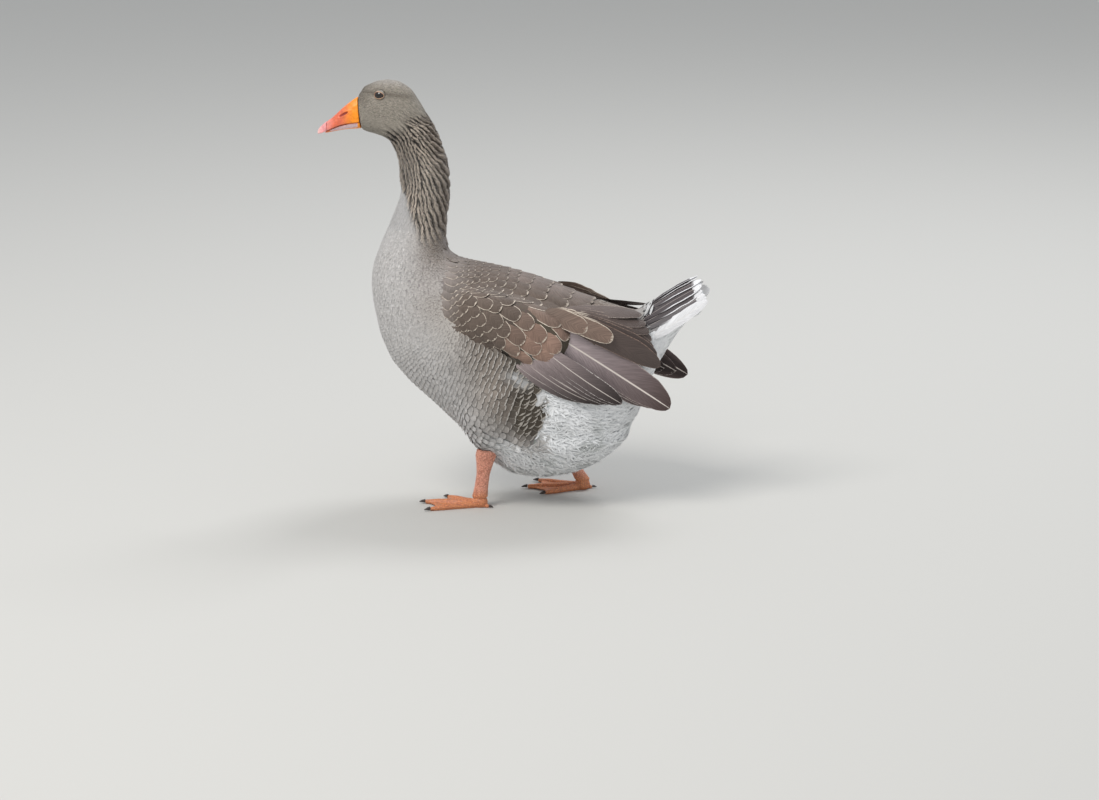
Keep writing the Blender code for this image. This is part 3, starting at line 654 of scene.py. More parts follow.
# The vane's looks, for every feather: barbs that slant out from the shaft, a paler ragged rim and tip.
plumage, given, result = new_group("plumage", Side_Fringe=0.16, Tip_Fringe=0.12, Barb_Depth=0.25, Barbs=26.0,
                                   Barb_Height=0.25, Shaft_Width=0.035)
vane_map = add_node(plumage, "ShaderNodeUVMap", {}, uv_map="vane")
vane_side, run_up, _ = add_node(plumage, "ShaderNodeSeparateXYZ", {0: vane_map.outputs["UV"]}).outputs
across = math_node(plumage, "ABSOLUTE", math_node(plumage, "MULTIPLY_ADD", vane_side, 2.0, -1.0))
ragged = noise_node(plumage, 420, Detail=1)
shift = math_node(plumage, "MULTIPLY_ADD", ragged.outputs["Fac"], 0.12, -0.06)
rims = []
for where, title, softness in ((across, "Side Fringe", 0.07), (run_up, "Tip Fringe", 0.05)):
    start = math_node(plumage, "SUBTRACT", 1.0, given[title])
    rims.append(step_node(plumage, math_node(plumage, "ADD", where, shift), start,
                          math_node(plumage, "ADD", start, softness)))
outer = step_node(plumage, run_up, 0.25, 0.5)
rim = math_node(plumage, "MAXIMUM", math_node(plumage, "MULTIPLY", rims[0], outer), rims[1])
fringe = tint_node(plumage, "fringe")
rim = math_node(plumage, "MULTIPLY", rim, fringe.outputs["Alpha"])

slant = math_node(plumage, "SUBTRACT", run_up, math_node(plumage, "MULTIPLY", across, 0.22))
barb_at = add_node(plumage, "ShaderNodeCombineXYZ", {0: math_node(plumage, "MULTIPLY", slant, given["Barbs"]),
                                                     1: math_node(plumage, "MULTIPLY", vane_side, 1.5)})
place = add_node(plumage, "ShaderNodeTexCoord", {})
far_spot = scaled_node(plumage, place.outputs["Object"], 60.0)
jitter = add_node(plumage, "ShaderNodeVectorMath", {0: barb_at.outputs[0], 1: far_spot})
barb = add_node(plumage, "ShaderNodeTexNoise", {"Scale": 1.0, "Detail": 2, "Vector": jitter.outputs[0]})
streak = step_node(plumage, barb.outputs["Fac"], 0.34, 0.66)
darker = math_node(plumage, "MULTIPLY_ADD", streak, given["Barb Depth"],
                   math_node(plumage, "MULTIPLY_ADD", given["Barb Depth"], -0.5, 1.0))
toned = scaled_node(plumage, tint_node(plumage).outputs["Color"], darker)
fringed = mix_node(plumage, "MIX", rim, toned, fringe.outputs["Color"])
shaft_end = math_node(plumage, "MULTIPLY", given["Shaft Width"], 1.7)
shaft_line = math_node(plumage, "MULTIPLY", tint_node(plumage, "shaft").outputs["Fac"],
                       step_node(plumage, across, given["Shaft Width"], shaft_end, 1.0, 0.0))
plumage.links.new(mix_node(plumage, "MIX", shaft_line, fringed, (0.80, 0.72, 0.66, 1)), result["Color"])
relief = add_node(plumage, "ShaderNodeBump",
                  {"Distance": 0.0004, "Strength": given["Barb Height"], "Height": streak})
plumage.links.new(relief.outputs["Normal"], result["Normal"])


def feather_material(name, sheen, roughness=0.78, **settings):
    """A matt, slightly silky feather finish that reads its colours from the feathers themselves."""
    return grouped_material(name, plumage, (0.3, 0.3, 0.3), roughness,
                            {"Sheen Weight": sheen, "Specular IOR Level": 0.25}, **settings)


down_finish = feather_material("small_feathers", 0.25, Side_Fringe=0.35, Tip_Fringe=0.22, Barb_Depth=0.12)
from_eyes = np.min([np.linalg.norm(patch_middle - np.array(eye), axis=1) for eye in EYES], 0)
head_share = ramp(head_level(patch_y, patch_height), *HEAD_COAT_LEVEL) * (from_eyes > EYE_BARE)
roots, _ = scattered(head_share, HEAD_PITCH, 11)
chance = np.random.default_rng(12)
head_coat = lay("head_coat", roots, body_place(roots)[2], (4.0 + 0.8 * chance.random(len(roots))) * MM,
                np.full(len(roots), HEAD_TUFT_WIDE), feather_look(roots, 13, vary=0.12),
                rise=(-0.3, 0.7), crest=0.25, sway=0.35 * chance.standard_normal(len(roots)))
dress(head_coat, down_finish, "grey_down")

# ------------------------------------------------------------------ the neck's coat
# Narrow feathers set along the neck's ridges, so that pale crests stand over dark furrows. They are
# sparse in the furrows, and turned out of the body's run by the slant that the ridges have there.
NECK_PITCH, NECK_TUFT_WIDE = 1.6 * MM, 1.7 * MM
furrowed, ridge, _ = furrows(patch_middle, *body_place(patch_middle)[:2])
neck_share = ramp(patch_height, 366, 382) * (1 - ramp(head_level(patch_y, patch_height), 542, 552))
neck_share = neck_share * (1 - 0.75 * furrowed * (1 - ramp(ridge, 0.15, 0.45)))
roots, normal = scattered(neck_share, NECK_PITCH, 21)
along, round_body, run = body_place(roots)
furrowed, ridge, part = furrows(roots, along, round_body)
neck_half = np.interp(roots[:, 2] / MM, (380, 430, 520), (46, 34, 30)) * MM
twist = UPRIGHT_TWIST * (1 - part) + (SLANTED_TWIST - TWIST_LOSS * (along - FURROW_START)) * part
slant = FURROW_PITCH * neck_half * twist / (1 - SIDE_CROWDING * np.cos(2 * round_body))
sideways = np.cross(run, normal)
sideways = sideways * np.sign(sideways[:, :1] * np.sign(roots[:, :1]) * np.cos(round_body)[:, None]
                              + sideways[:, 1:2] * np.sin(np.abs(round_body))[:, None])
chance = np.random.default_rng(22)
neck_coat = lay("neck_coat", roots, run + sideways * (slant * furrowed)[:, None],
                (5.6 + 2.2 * chance.random(len(roots))) * MM, np.full(len(roots), NECK_TUFT_WIDE),
                feather_look(roots, 23), rise=(-0.4, 0.6 + 1.5 * ridge * furrowed),
                sway=0.16 * chance.standard_normal(len(roots)))
dress(neck_coat, down_finish, "furrowed_neck")

# ------------------------------------------------------------------ the coats of breast and flank
# Small rounded feathers in close rows that spread round the shoulder and lie down and back. Towards the
# thigh they are larger and dark with pale edges, so those have a fuller section and a finish of their own.
FLANK_START, FLANK_FULL, THIGH_START, THIGH_FULL = 0.36, 0.47, 0.49, 0.53
FLANK_SECTION = ((-1, 0), (-0.55, 0.75), (0, 1), (0.55, 0.75), (1, 0), (0, -0.4))
BREAST_START, FLANK_COAT_START, FLANK_COAT_END = 0.17, 0.41, 0.56
ROUND_CASTS, ROW_CLOSEST = 12, 0.62


def wing_cover(places):
    """How far places lie under the folded wing's own feathers, from 0 to 1."""
    _, y, z = levels(places)
    low_edge = np.interp(y, (-82, -76, -60, -34, 0, 32, 66, 98, 142),
                         (290, 272, 258, 248, 235, 222, 220, 228, 252))
    front = -88 + 3.5 * np.sin(0.13 * z) + 2 * np.sin(0.31 * z + 1.0)
    return ramp(z, low_edge, low_edge + 8) * ramp(y, front - 6, front + 6) * (1 - ramp(y, 170, 190))


def breast_pitch(run):
    return (2.2 + 4.0 * ramp(run, FLANK_START, FLANK_FULL) + 3.0 * ramp(run, THIGH_START, THIGH_FULL)) * MM


def breast_row(run):
    return (2.5 + 4.5 * ramp(run, FLANK_START, FLANK_FULL) + 2.6 * ramp(run, THIGH_START, THIGH_FULL)) * MM


def ringed(run, end):
    """Root spots in staggered rows round the body, between two runs along it, thinned where rows meet."""
    made, odd = [], False
    while run < end:
        centre, way = [[np.interp(run, spine_run, line[:, axis]) for axis in (0, 1)]
                       for line in (spine_line, spine_way)]
        middle, under = Vector((0, *centre)), Vector((0, way[1], -way[0]))

        def cast(turn):
            return hide.ray_cast(middle, under * math.cos(turn) + Vector((math.sin(turn), 0, 0)))[0]

        hits = [cast(turn) for turn in np.linspace(-math.pi, math.pi, ROUND_CASTS, endpoint=False)]
        size = 0.0
        for hit in hits:
            size += (hit - middle).length / ROUND_CASTS if hit is not None else 0
        number = max(int(2 * math.pi * size / breast_pitch(run)), 6)
        hits = [cast(2 * math.pi * (index + 0.5 * odd) / number - math.pi) for index in range(number)]
        made += [hit[:] for hit in hits if hit is not None]
        run += breast_row(run)
        odd = not odd
    made = np.array(made)
    _, y, z = levels(made)
    made = made[(z < 402) & (wing_cover(made) < 0.4) & (y < 42) & (z > 96)]
    gaps = np.array([breast_pitch(value) for value in body_place(made)[0]]) * ROW_CLOSEST
    return made[thinned(made, gaps)]


roots = ringed(BREAST_START, FLANK_COAT_END)
chance = np.random.default_rng(31)
along, _, run = body_place(roots)
astray = (0.9 + 0.3 * ramp(along, FLANK_START, FLANK_FULL))[:, None] * MM
astray = astray * chance.standard_normal(roots.shape)
roots = roots + astray - 0.6 * dotted(astray, run) * run
run = run + np.array((0, 0, -0.8)) * ramp(roots[:, 1] / MM, -5, 25)[:, None]
over_wing = ramp(roots[:, 2] / MM, 205, 240) * ramp(roots[:, 1] / MM, -84, -60)
on_flank = along > FLANK_COAT_START
flank_finish = feather_material("flank_feathers", 0.2, Side_Fringe=0.07, Tip_Fringe=0.11, Barb_Depth=0.3)
for name, chosen, section, shares, spread, finish in (
        ("breast_coat", ~on_flank, TUFT_SECTION, (0.3, 0.62, 0.92), (0.7, 1.0, 0.75), down_finish),
        ("flank_coat", on_flank, FLANK_SECTION, (0.25, 0.5, 0.75, 0.9, 0.975), (0.7, 0.95, 1.0, 0.86, 0.55),
         flank_finish)):
    big, bigger = ramp(along[chosen], 0.33, FLANK_FULL), ramp(along[chosen], THIGH_START, THIGH_FULL)
    small = 0.68 + 0.32 * ramp(roots[chosen, 2] / MM, 104, 150)
    coat = lay(name, roots[chosen], run[chosen],
               (6.5 + 10.0 * big + 7.0 * bigger + 2.0 * chance.random(chosen.sum())) * small * MM,
               (3.2 + 6.8 * big + 5.0 * bigger) * small * MM, feather_look(roots[chosen], 33, vary=0.12),
               shares=shares, spread=spread, section=section, crest=0.25,
               rise=(-0.5, 0.8 + 1.8 * big + 2.4 * over_wing[chosen]),
               sway=0.14 * chance.standard_normal(chosen.sum()))
    dress(coat, finish, "pale_breast")

# ------------------------------------------------------------------ the belly's coat
# Long loose white down over belly and vent, in wisps that curl and part. It grows on the rear half of the
# skin, up to the wing and the tail, and on its lowest part. Each wisp stands off it by its own height.
UNDER_WING, BELLY_PITCH = np.array((0, 0, 14 * MM)), 2.6 * MM
belly_share = (patch_y > 44) * (wing_cover(patch_middle + UNDER_WING) < 0.5) + (patch_height <= 100)
belly_share = belly_share * (patch_y < 186) * (1 - (patch_height > 300))
roots, _ = scattered(belly_share.astype(float), BELLY_PITCH, 41)
chance = np.random.default_rng(42)
run = body_place(roots)[2]
belly_coat = lay("belly_coat", roots, run + 0.16 * chance.standard_normal(run.shape),
                 (14 + 9 * chance.random(len(roots))) * MM, (2.3 + 1.2 * chance.random(len(roots))) * MM,
                 feather_look(roots, 43, vary=0.03), shares=(0.3, 0.62, 0.86), spread=(1.0, 0.9, 0.5),
                 rise=(-0.6, 1.8 + 2.6 * chance.random(len(roots)) ** 2), crest=0.2,
                 sway=0.8 * chance.standard_normal(len(roots)))
dress(belly_coat, down_finish, "white_down")

# ------------------------------------------------------------------ back, shoulders and wing coverts
# Broad round-ended feathers in rows that grow from the shoulder to the rear, from the middle of the back
# down over the folded wing. Each is brown, darker near its end, with a thin cream edge.
WING_AXIS, WING_RADIUS = 235 * MM, 112 * MM
ROWS_START, ROWS_END, ROWS_SPAN = -98, 172, 200
FIRST_GAP, GAP_GROWTH = 6.2 * MM, 1.12
BROAD_SHARES = (0.12, 0.3, 0.5, 0.66, 0.78, 0.87, 0.94, 0.985)
FRONT_LIMIT_BACK, FRONT_LIMIT_UP = (-100, -84, -72, -64, -58, -50), (300, 290, 277, 270, 250, 0)
REAR_LIMIT_UP, REAR_LIMIT_BACK = (205, 235, 250, 266, 290, 305, 330), (50, 82, 98, 126, 140, 165, 215)
SHADE_BROWN, RUSTY, LILAC_BROWN = srgb(92, 79, 70), srgb(160, 130, 115), srgb(138, 124, 118)
EDGE_CREAM = srgb(226, 212, 196)
SIDES = ((1, "left"), (-1, "right"))


def rounded(shares, start=0.35, full=0.45, turn=0.66, power=2.2):
    """Half widths of a vane along its length: widening to full, then closing in a round end."""
    widths = []
    for share in shares:
        opening = start + (1 - start) * min(share / full, 1) ** 0.7
        closing = max((share - turn) / (1 - turn), 0)
        widths.append(opening * (1 - closing ** power) ** (1 / power))
    return widths


def wing_cast(side, y, turn):
    """The spot of skin met from the wing's long axis at y, turned from straight down towards the side."""
    hit = hide.ray_cast(Vector((0, y, WING_AXIS)), Vector((side * math.sin(turn), 0, -math.cos(turn))))
    return hit[0][:]


wing_finish = feather_material("wing_feathers", 0.15, 0.62, Side_Fringe=0.11, Tip_Fringe=0.06,
                               Barb_Depth=0.34, Barbs=46.0, Barb_Height=0.5)
chance = np.random.default_rng(51)
for side, side_name in SIDES:
    made = []
    top, gap, odd = ROWS_START * MM, FIRST_GAP, False
    while top < ROWS_END * MM:
        share = min((top / MM - ROWS_START) / ROWS_SPAN, 1)
        bottom = np.interp(top / MM, (ROWS_START, 11, 95, ROWS_END), (-92, -36, 44, 118)) * MM
        width = (15 + 15 * share) * MM
        lowest = math.radians(np.interp(bottom / MM, (-92, -60, 0, 60, 118), (121, 110, 100, 97, 95)))
        number = int((math.pi - lowest) * WING_RADIUS / (0.62 * width))
        for index in range(number + (not odd)):
            down = (index + 0.5 * odd) / number
            y = top + (bottom - top) * down + (3 + 15 * share) * MM * math.sin(math.pi * down)
            y += 0.7 * MM * chance.standard_normal()
            turn = math.pi - 0.01 - (math.pi - lowest) * down + 0.006 * chance.standard_normal()
            dip = math.radians(14 + (34 - 10 * share) * min(down / 0.6, 1) + 3 * chance.standard_normal())
            made.append((*wing_cast(side, y, turn), dip, width, share, down))
        top, gap, odd = top + gap, gap * GAP_GROWTH, not odd

    made = np.array(made)
    roots, (dip, width, share, down) = made[:, :3], made[:, 3:].T
    heading = np.stack([0 * dip, np.cos(dip), -np.sin(dip)], 1)
    length = width * (1.9 + 1.0 * ramp(share, 0.35, 0.75) * (1 - ramp(down, 0.45, 0.8)))
    _, end_y, end_z = levels(roots + heading * length[:, None])
    inside = ((end_y < np.interp(end_z, REAR_LIMIT_UP, REAR_LIMIT_BACK))
              & (end_z > np.interp(end_y, FRONT_LIMIT_BACK, FRONT_LIMIT_UP)))
    roots, heading, length, width, share, down = (values[inside] for values in
                                                  (roots, heading, length, width, share, down))
    tone = 1 + 0.08 * chance.standard_normal(len(roots))[:, None]
    rusty = ramp(share, 0.5, 0.8) * ramp(down, 0.5, 0.85)
    colour = mixed(mixed(MANTLE, RUSTY, rusty), SHOULDER, 0.75 * (1 - ramp(share, 0.0, 0.16)))
    colour = mixed(colour, LILAC_BROWN, 0.75 * (1 - ramp(down, 0.1, 0.3)) * ramp(share, 0.2, 0.5))
    look = {"root": colour * tone, "tip": mixed(colour, SHADE_BROWN, 0.6 * (1 - 0.8 * rusty)) * 0.9 * tone,
            "fringe": np.tile(EDGE_CREAM, (len(roots), 1)), "amount": 0.4 + 0.55 * ramp(down, 0.12, 0.36),
            "shaft": np.zeros(len(roots))}
    coverts = lay(f"wing_{side_name}_small_feathers", roots, heading, length, width, look,
                  shares=BROAD_SHARES, spread=rounded(BROAD_SHARES), section=VANE_SECTION,
                  rise=(-0.8, 2.2 + 1.3 * share), crest=0.5, arch=0.05, hug=True, tilt=0.35 * side)
    dress(coverts, wing_finish, "brown_feather")

# ------------------------------------------------------------------ the long wing feathers
# Stiff quills with a shaft, a narrow outer and a broad inner vane, stacked like a closed fan. The upper
# ones lie over the lower, so that their pale lower edges show as thin lines.
QUILL_SHARES = np.array((0.04, 0.12, 0.24, 0.38, 0.52, 0.64, 0.74, 0.82, 0.88, 0.925, 0.96, 0.985))
OUTER_VANE, INNER_VANE = 0.85, 1.15
DARK_BROWN, LILAC, BLACKISH = srgb(84, 73, 69), srgb(204, 186, 186), srgb(42, 34, 32)
EDGE_BROWN = srgb(168, 140, 124)


def spot_in(node, out, back, up):
    """A point by its shares of a node's box, counted outwards from the body's middle, back and up."""
    low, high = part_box(node)
    near, far = sorted((abs(low.x), abs(high.x)))
    side = 1 if high.x + low.x > 0 else -1
    return np.array([side * (near + (far - near) * out), low.y + (high.y - low.y) * back,
                     low.z + (high.z - low.z) * up])


def quill_fan(name, count, first, last, seed, turn=0.7, power=2.0, start=0.3, fade=0.6, under_shade=0.3,
              step=0.8 * MM, notch=0.03, colour_bend=1.0, swell=0.0):
    """A stack of quills between a first and a last one. Each is given by root, tip, bulge, width, face (which
    way it looks), base and end colours, edge colour, edge amount (rim) and shaft."""
    chance = np.random.default_rng(seed)
    widths = np.array(rounded(QUILL_SHARES, start, 0.4, turn, power))
    t = QUILL_SHARES[:, None]
    rings, root_points, tip_points = [], [], []
    look = {title: [] for title in ("root", "tip", "fringe", "amount", "shaft")}
    for index in range(count):
        share = index / (count - 1)
        feather = {title: np.asarray(first[title]) * (1 - share) + np.asarray(last[title]) * share
                   for title in first}
        base, end = (mixed(first[title], last[title], share ** colour_bend) for title in ("base", "end"))
        root = feather["root"] + swell * math.sin(math.pi * share)
        bulge, face = feather["bulge"], unit(feather["face"])
        tip = feather["tip"] + 1.2 * MM * chance.standard_normal(3)
        ragged = 1 - notch * np.abs(chance.standard_normal((len(t), 2))) * (t > 0.5)
        under = face * index * step
        centre = root * (1 - t) + tip * t + bulge * 4 * t * (1 - t) - under
        way = unit(tip - root + bulge * 4 * (1 - 2 * t))
        up = unit(face - dotted(face, way) * way)
        side = np.cross(way, up)
        half = feather["width"] / 2 * widths
        ring = []
        for across, height in VANE_SECTION:
            reach = across * half * (OUTER_VANE if across > 0 else INNER_VANE) * ragged[:, int(across > 0)]
            drop = height * 0.4 * MM - 0.09 * across ** 2 * half
            ring.append(centre + side * reach[:, None] + up * drop[:, None])
        rings.append(np.stack(ring, 1))
        root_points.append(root - under)
        tip_points.append(tip - under)
        tone = 1 + 0.05 * chance.standard_normal()
        for values, value in zip(look.values(), (base * tone, end * tone,
                                                 *(feather[title] for title in ("edge", "rim", "shaft")))):
            values.append(value)
    columns = np.stack([(np.arange(count) + 0.5) / count, np.full(count, 0.5)], 1)
    look = {title: np.array(values) for title, values in look.items()}
    return knit(name, np.array(rings), np.array(root_points), np.array(tip_points), VANE_SECTION,
                QUILL_SHARES, columns, look, patch=(0.92 / count, 0.96), fade=fade, under_shade=under_shade)


def part_quill(quill, first_share, last_share, sink, lift, **changes):
    """The stretch of a quill between two shares as a shorter one, sunk at its root and lifted at its tip."""
    root, tip, bulge, face = quill["root"], quill["tip"], quill["bulge"], unit(quill["face"])
    spot = [root * (1 - t) + tip * t + bulge * 4 * t * (1 - t) for t in (first_share, last_share)]
    return {**quill, "root": spot[0] - face * sink, "tip": spot[1] + face * lift,
            "bulge": bulge * (last_share - first_share) ** 2 + face * lift / 2, **changes}


quill_finish = feather_material("long_feathers", 0.12, 0.55, Side_Fringe=0.07, Tip_Fringe=0.018,
                                Barb_Depth=0.22, Barbs=70.0, Barb_Height=0.5)
for side, side_name in SIDES:
    wing = f"wing_{side_name}"
    out = np.array([side, 1, 1])
    back_spot = np.array(wing_cast(side, 62 * MM, math.radians(132))) - out * (4 * MM, 0, 3 * MM)
    settled = 0 if side > 0 else 6 * MM
    node = f"{wing}_tertials"
    top_quill = dict(
        root=back_spot, tip=spot_in(node, 0.0, 0.86, 0.84) - (0, 0, settled / 2),
        bulge=out * (5 * MM, 0, 5 * MM - settled), width=27 * MM, face=out * (0.45, -0.05, 0.87),
        base=srgb(118, 104, 98), end=DARK_BROWN, edge=srgb(190, 175, 165), rim=0.8, shaft=0.0)
    low_quill = dict(
        root=spot_in(node, 1.04, 0.06, 0.93), tip=spot_in(node, 0.36, 1.02, 0.11),
        bulge=out * (10 * MM, 0, 6 * MM), width=32 * MM, face=out * (1.0, 0.12, 0.16),
        base=srgb(98, 84, 79), end=DARK_BROWN * 0.95, edge=EDGE_BROWN, rim=0.75, shaft=0.0)
    tertials = quill_fan(f"{wing}_tertial_feathers", 7, top_quill, low_quill, 61 + side, under_shade=-0.8)
    dress(tertials, quill_finish, "brown_feather", node)

    mid_quill = {title: top_quill[title] * 0.65 + low_quill[title] * 0.35 for title in top_quill}
    colours = dict(base=MANTLE, edge=EDGE_CREAM, rim=0.85)
    for row, start, end, sink, lift, number, seed in (("rear", 0.04, 0.54, 4 * MM, 4.5 * MM, 5, 63),
                                                      ("front", -0.1, 0.32, 5 * MM, 5 * MM, 4, 65)):
        cover = quill_fan(
            f"{wing}_{row}_tertial_coverts", number,
            part_quill(mid_quill, start, end, sink, 0.3 * lift, width=23 * MM, end=SHADE_BROWN * 1.1,
                       **colours),
            part_quill(low_quill, start, end, sink, lift, width=27 * MM, end=mixed(MANTLE, RUSTY, 0.4),
                       **colours),
            seed + side, turn=0.66, power=2.2, start=0.35, under_shade=0.12, step=0.5 * MM)
        dress(cover, wing_finish, "brown_feather")

    node = f"{wing}_primaries"
    primaries = quill_fan(
        f"{wing}_primary_feathers", 5,
        dict(root=spot_in(node, 2.1, -0.36, 1.31), tip=spot_in(node, 0.25, 0.99, 0.02),
             bulge=out * (4 * MM, 0, 2 * MM), width=49 * MM, face=out * (1.0, 0.14, 0.05),
             base=srgb(222, 206, 208), end=srgb(76, 60, 57), edge=srgb(205, 190, 182), rim=0.5, shaft=1.0),
        dict(root=spot_in(node, 1.55, -0.25, 0.9), tip=spot_in(node, 1.1, 0.52, 0.22),
             bulge=out * (5 * MM, 0, -3 * MM), width=26 * MM, face=out * (1.0, 0.1, -0.05),
             base=LILAC, end=BLACKISH, edge=srgb(225, 216, 212), rim=1.0, shaft=0.7),
        71 + side, turn=0.66, start=0.72, fade=0.5, step=2.4 * MM, under_shade=0.55)
    dress(primaries, quill_finish, "brown_feather", node)

    node = f"{wing}_secondaries"
    secondaries = quill_fan(
        f"{wing}_secondary_feathers", 8,
        dict(root=spot_in(node, 1.06, 0.24, 1.25), tip=spot_in(node, 0.45, 0.90, 0.02),
             bulge=out * (1 * MM, 0, -3 * MM), width=27 * MM, face=out * (1.0, 0.08, -0.1),
             base=LILAC, end=BLACKISH, edge=srgb(228, 220, 216), rim=1.0, shaft=0.8),
        dict(root=spot_in(node, 0.86, -0.03, 0.86), tip=spot_in(node, 0.62, 0.58, 0.02),
             bulge=out * (3 * MM, 0, -7 * MM), width=21 * MM, face=out * (1.0, 0.0, -0.25),
             base=LILAC * 0.9, end=BLACKISH, edge=srgb(215, 205, 200), rim=0.9, shaft=0.5),
        81 + side, turn=0.6, start=0.6, fade=0.36, step=1.2 * MM)
    dress(secondaries, quill_finish, "brown_feather", node)

# ------------------------------------------------------------------ the tail
# Sixteen stiff feathers in a raised fan, dark grey in the middle with white edges and frayed tips, the
# outer ones white, under long white coverts.
TAIL_PAIRS, TAIL_COVERT_PITCH = 8, 4.2 * MM
TAIL_DARK, TAIL_WHITE = srgb(82, 75, 77), srgb(236, 236, 238)
FAN_FACE, FAN_WAY = (0, -0.65, 0.75), (0, 0.9, 0.43)


def tail_spot(x, back, up):
    """A point at a distance x from the middle plane, and back and up by shares of the tail fan's box."""
    return spot_in("tail_fan", 0, back, up) * (0, 1, 1) + (x, 0, 0)


tail_finish = feather_material("tail_feathers", 0.15, 0.6, Side_Fringe=0.22, Tip_Fringe=0.16, Barb_Depth=0.22,
                               Barbs=60.0, Barb_Height=0.5)
for side, side_name in SIDES:
    tail_half = quill_fan(
        f"tail_feathers_{side_name}", TAIL_PAIRS,
        dict(root=tail_spot(side * 2 * MM, 0.02, 0.40), tip=tail_spot(side * 3 * MM, 0.90, 1.02),
             bulge=(0, 0, 5 * MM), width=21 * MM, face=(side * 0.15, -0.65, 0.75),
             base=TAIL_DARK, end=TAIL_DARK, edge=TAIL_WHITE, rim=1.0, shaft=0.4),
        dict(root=tail_spot(side * 40 * MM, 0.0, -0.03), tip=tail_spot(side * 43 * MM, 1.06, 0.72),
             bulge=(side * 1 * MM, 0, -3 * MM), width=19 * MM, face=(side * 0.92, -0.2, 0.35),
             base=TAIL_WHITE * 0.95, end=TAIL_WHITE, edge=TAIL_WHITE, rim=1.0, shaft=0.3),
        91 + side, turn=0.74, power=1.8, notch=0.12, colour_bend=7.0, under_shade=0.08,
        swell=np.array([side * 7 * MM, 0, 9 * MM]))
    dress(tail_half, tail_finish, "white_down", "tail_fan")

upper_side = patch_facing @ unit(np.array(FAN_FACE)) > 0.1
rump = ramp(patch_y, 112, 124) * (patch_facing[:, 2] > 0.35) * (patch_height > 240)
beside_fan = patch_height > 246 + 0.58 * (patch_y - 188)
covert_end = np.where(upper_side | beside_fan, np.where(patch_height > 272, 197, 178), 268)
covert_share = np.maximum(ramp(patch_y, 176, 192), rump) * (patch_y < covert_end)
roots, _ = scattered(covert_share, TAIL_COVERT_PITCH, 101)
chance = np.random.default_rng(102)
_, root_y, root_z = levels(roots)
heading = unit(body_place(roots)[2] + np.array(FAN_WAY) * ramp(root_z, 200, 260)[:, None])
tail_coat = lay("tail_covert_feathers", roots, heading,
                (19 + 7 * chance.random(len(roots)) - 4 * ramp(root_z, 262, 278)) * MM,
                (6.0 + 2 * chance.random(len(roots))) * MM, feather_look(roots, 103, vary=0.03),
                shares=(0.2, 0.45, 0.7, 0.88), spread=(0.7, 1.0, 0.9, 0.6),
                rise=(-0.5, 2.8 + 11 * ramp(root_y, 168, 182) * ramp(root_z, 264, 272)), crest=0.5,
                sway=0.25 * chance.standard_normal(len(roots)))
dress(tail_coat, down_finish, "white_down")

# ------------------------------------------------------------------ the bill
# A horny sheath in two jaws with a hard nail at its tip. The upper jaw carries a slit nostril on each
# side, and the lower one, along its edge towards the gape, a pale band of fine comb plates.
BILL_ORANGE, BILL_CORAL, BILL_PINK = srgb(252, 148, 16), srgb(222, 108, 74), srgb(232, 156, 156)
COMB_PALE, NOSTRIL_RED, NAIL_PINK = srgb(226, 200, 206), srgb(150, 48, 30), srgb(240, 190, 185)
NOSTRIL_BACK, NOSTRIL_UP, NOSTRIL_TILT = 0.475, 0.505, math.radians(29)
NOSTRIL_LONG, NOSTRIL_WIDE, NOSTRIL_DEEP, LIP_HIGH = 6.6 * MM, 1.5 * MM, 1.5 * MM, 0.35 * MM
COMB_PITCH = 1.5 * MM
UPPER_GRAIN, LOWER_GRAIN, NAIL_GRAIN = 0.7 * MM, 0.6 * MM, 0.5 * MM


def fine_copy(name, node_names, grain, passes):
    """Smooth fine-grained stand-in for CAD nodes, kept at their size."""
    piece = evened(joined_copy(name, node_names), grain)
    points = spots(piece.data)
    put_spots(piece.data, relaxed(piece.data, points, np.full(len(points), 0.5), passes))
    piece.data.shade_smooth()
    return piece


def horn_material(name, roughness, coat, scale, relief):
    """A smooth horny or leathery finish, coloured by the piece's tint with a fine mottle."""
    return grouped_material(name, fine_grain, (0.5, 0.3, 0.1), roughness,
                            {"Coat Weight": coat, "Coat Roughness": 0.3, "Subsurface Weight": 0.06,
                             "Subsurface Scale": 0.004}, Scale=scale, Mottle=0.12, Relief=relief)


def boxed(points, node):
    """How far forward and up points lie in a node's box, as shares of it."""
    low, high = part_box(node)
    return (high.y - points[:, 1]) / (high.y - low.y), (points[:, 2] - low.z) / (high.z - low.z)


bill_finish = horn_material("bill_sheath", 0.42, 0.15, 260, 0.00025)
upper_jaw = fine_copy("bill_upper_sheath", ["bill_upper"], UPPER_GRAIN, 5)
points = spots(upper_jaw.data)
bill_low, bill_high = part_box("bill_upper")
off_y = points[:, 1] - (bill_high.y - NOSTRIL_BACK * (bill_high.y - bill_low.y))
off_z = points[:, 2] - (bill_low.z + NOSTRIL_UP * (bill_high.z - bill_low.z))
long_off = off_y * math.cos(NOSTRIL_TILT) + off_z * math.sin(NOSTRIL_TILT)
wide_off = -off_y * math.sin(NOSTRIL_TILT) + off_z * math.cos(NOSTRIL_TILT)
slit = (long_off / NOSTRIL_LONG) ** 2 + (wide_off / NOSTRIL_WIDE) ** 2
nostril, lip = 1 - ramp(slit, 0.5, 1.5), ramp(slit, 1.2, 2.2) * (1 - ramp(slit, 2.4, 5.0))
deep = nostril * NOSTRIL_DEEP - lip * LIP_HIGH
put_spots(upper_jaw.data, points - facing(upper_jaw.data) * deep[:, None])
forward, _ = boxed(points, "bill_upper")
colour = mixed(BILL_ORANGE, BILL_CORAL, ramp(forward, 0.15, 0.6))
colour = mixed(colour, BILL_PINK, 0.55 * ramp(forward, 0.72, 1.0))
paint(upper_jaw, mixed(colour, NOSTRIL_RED, np.clip(nostril * 1.2, 0, 1)))
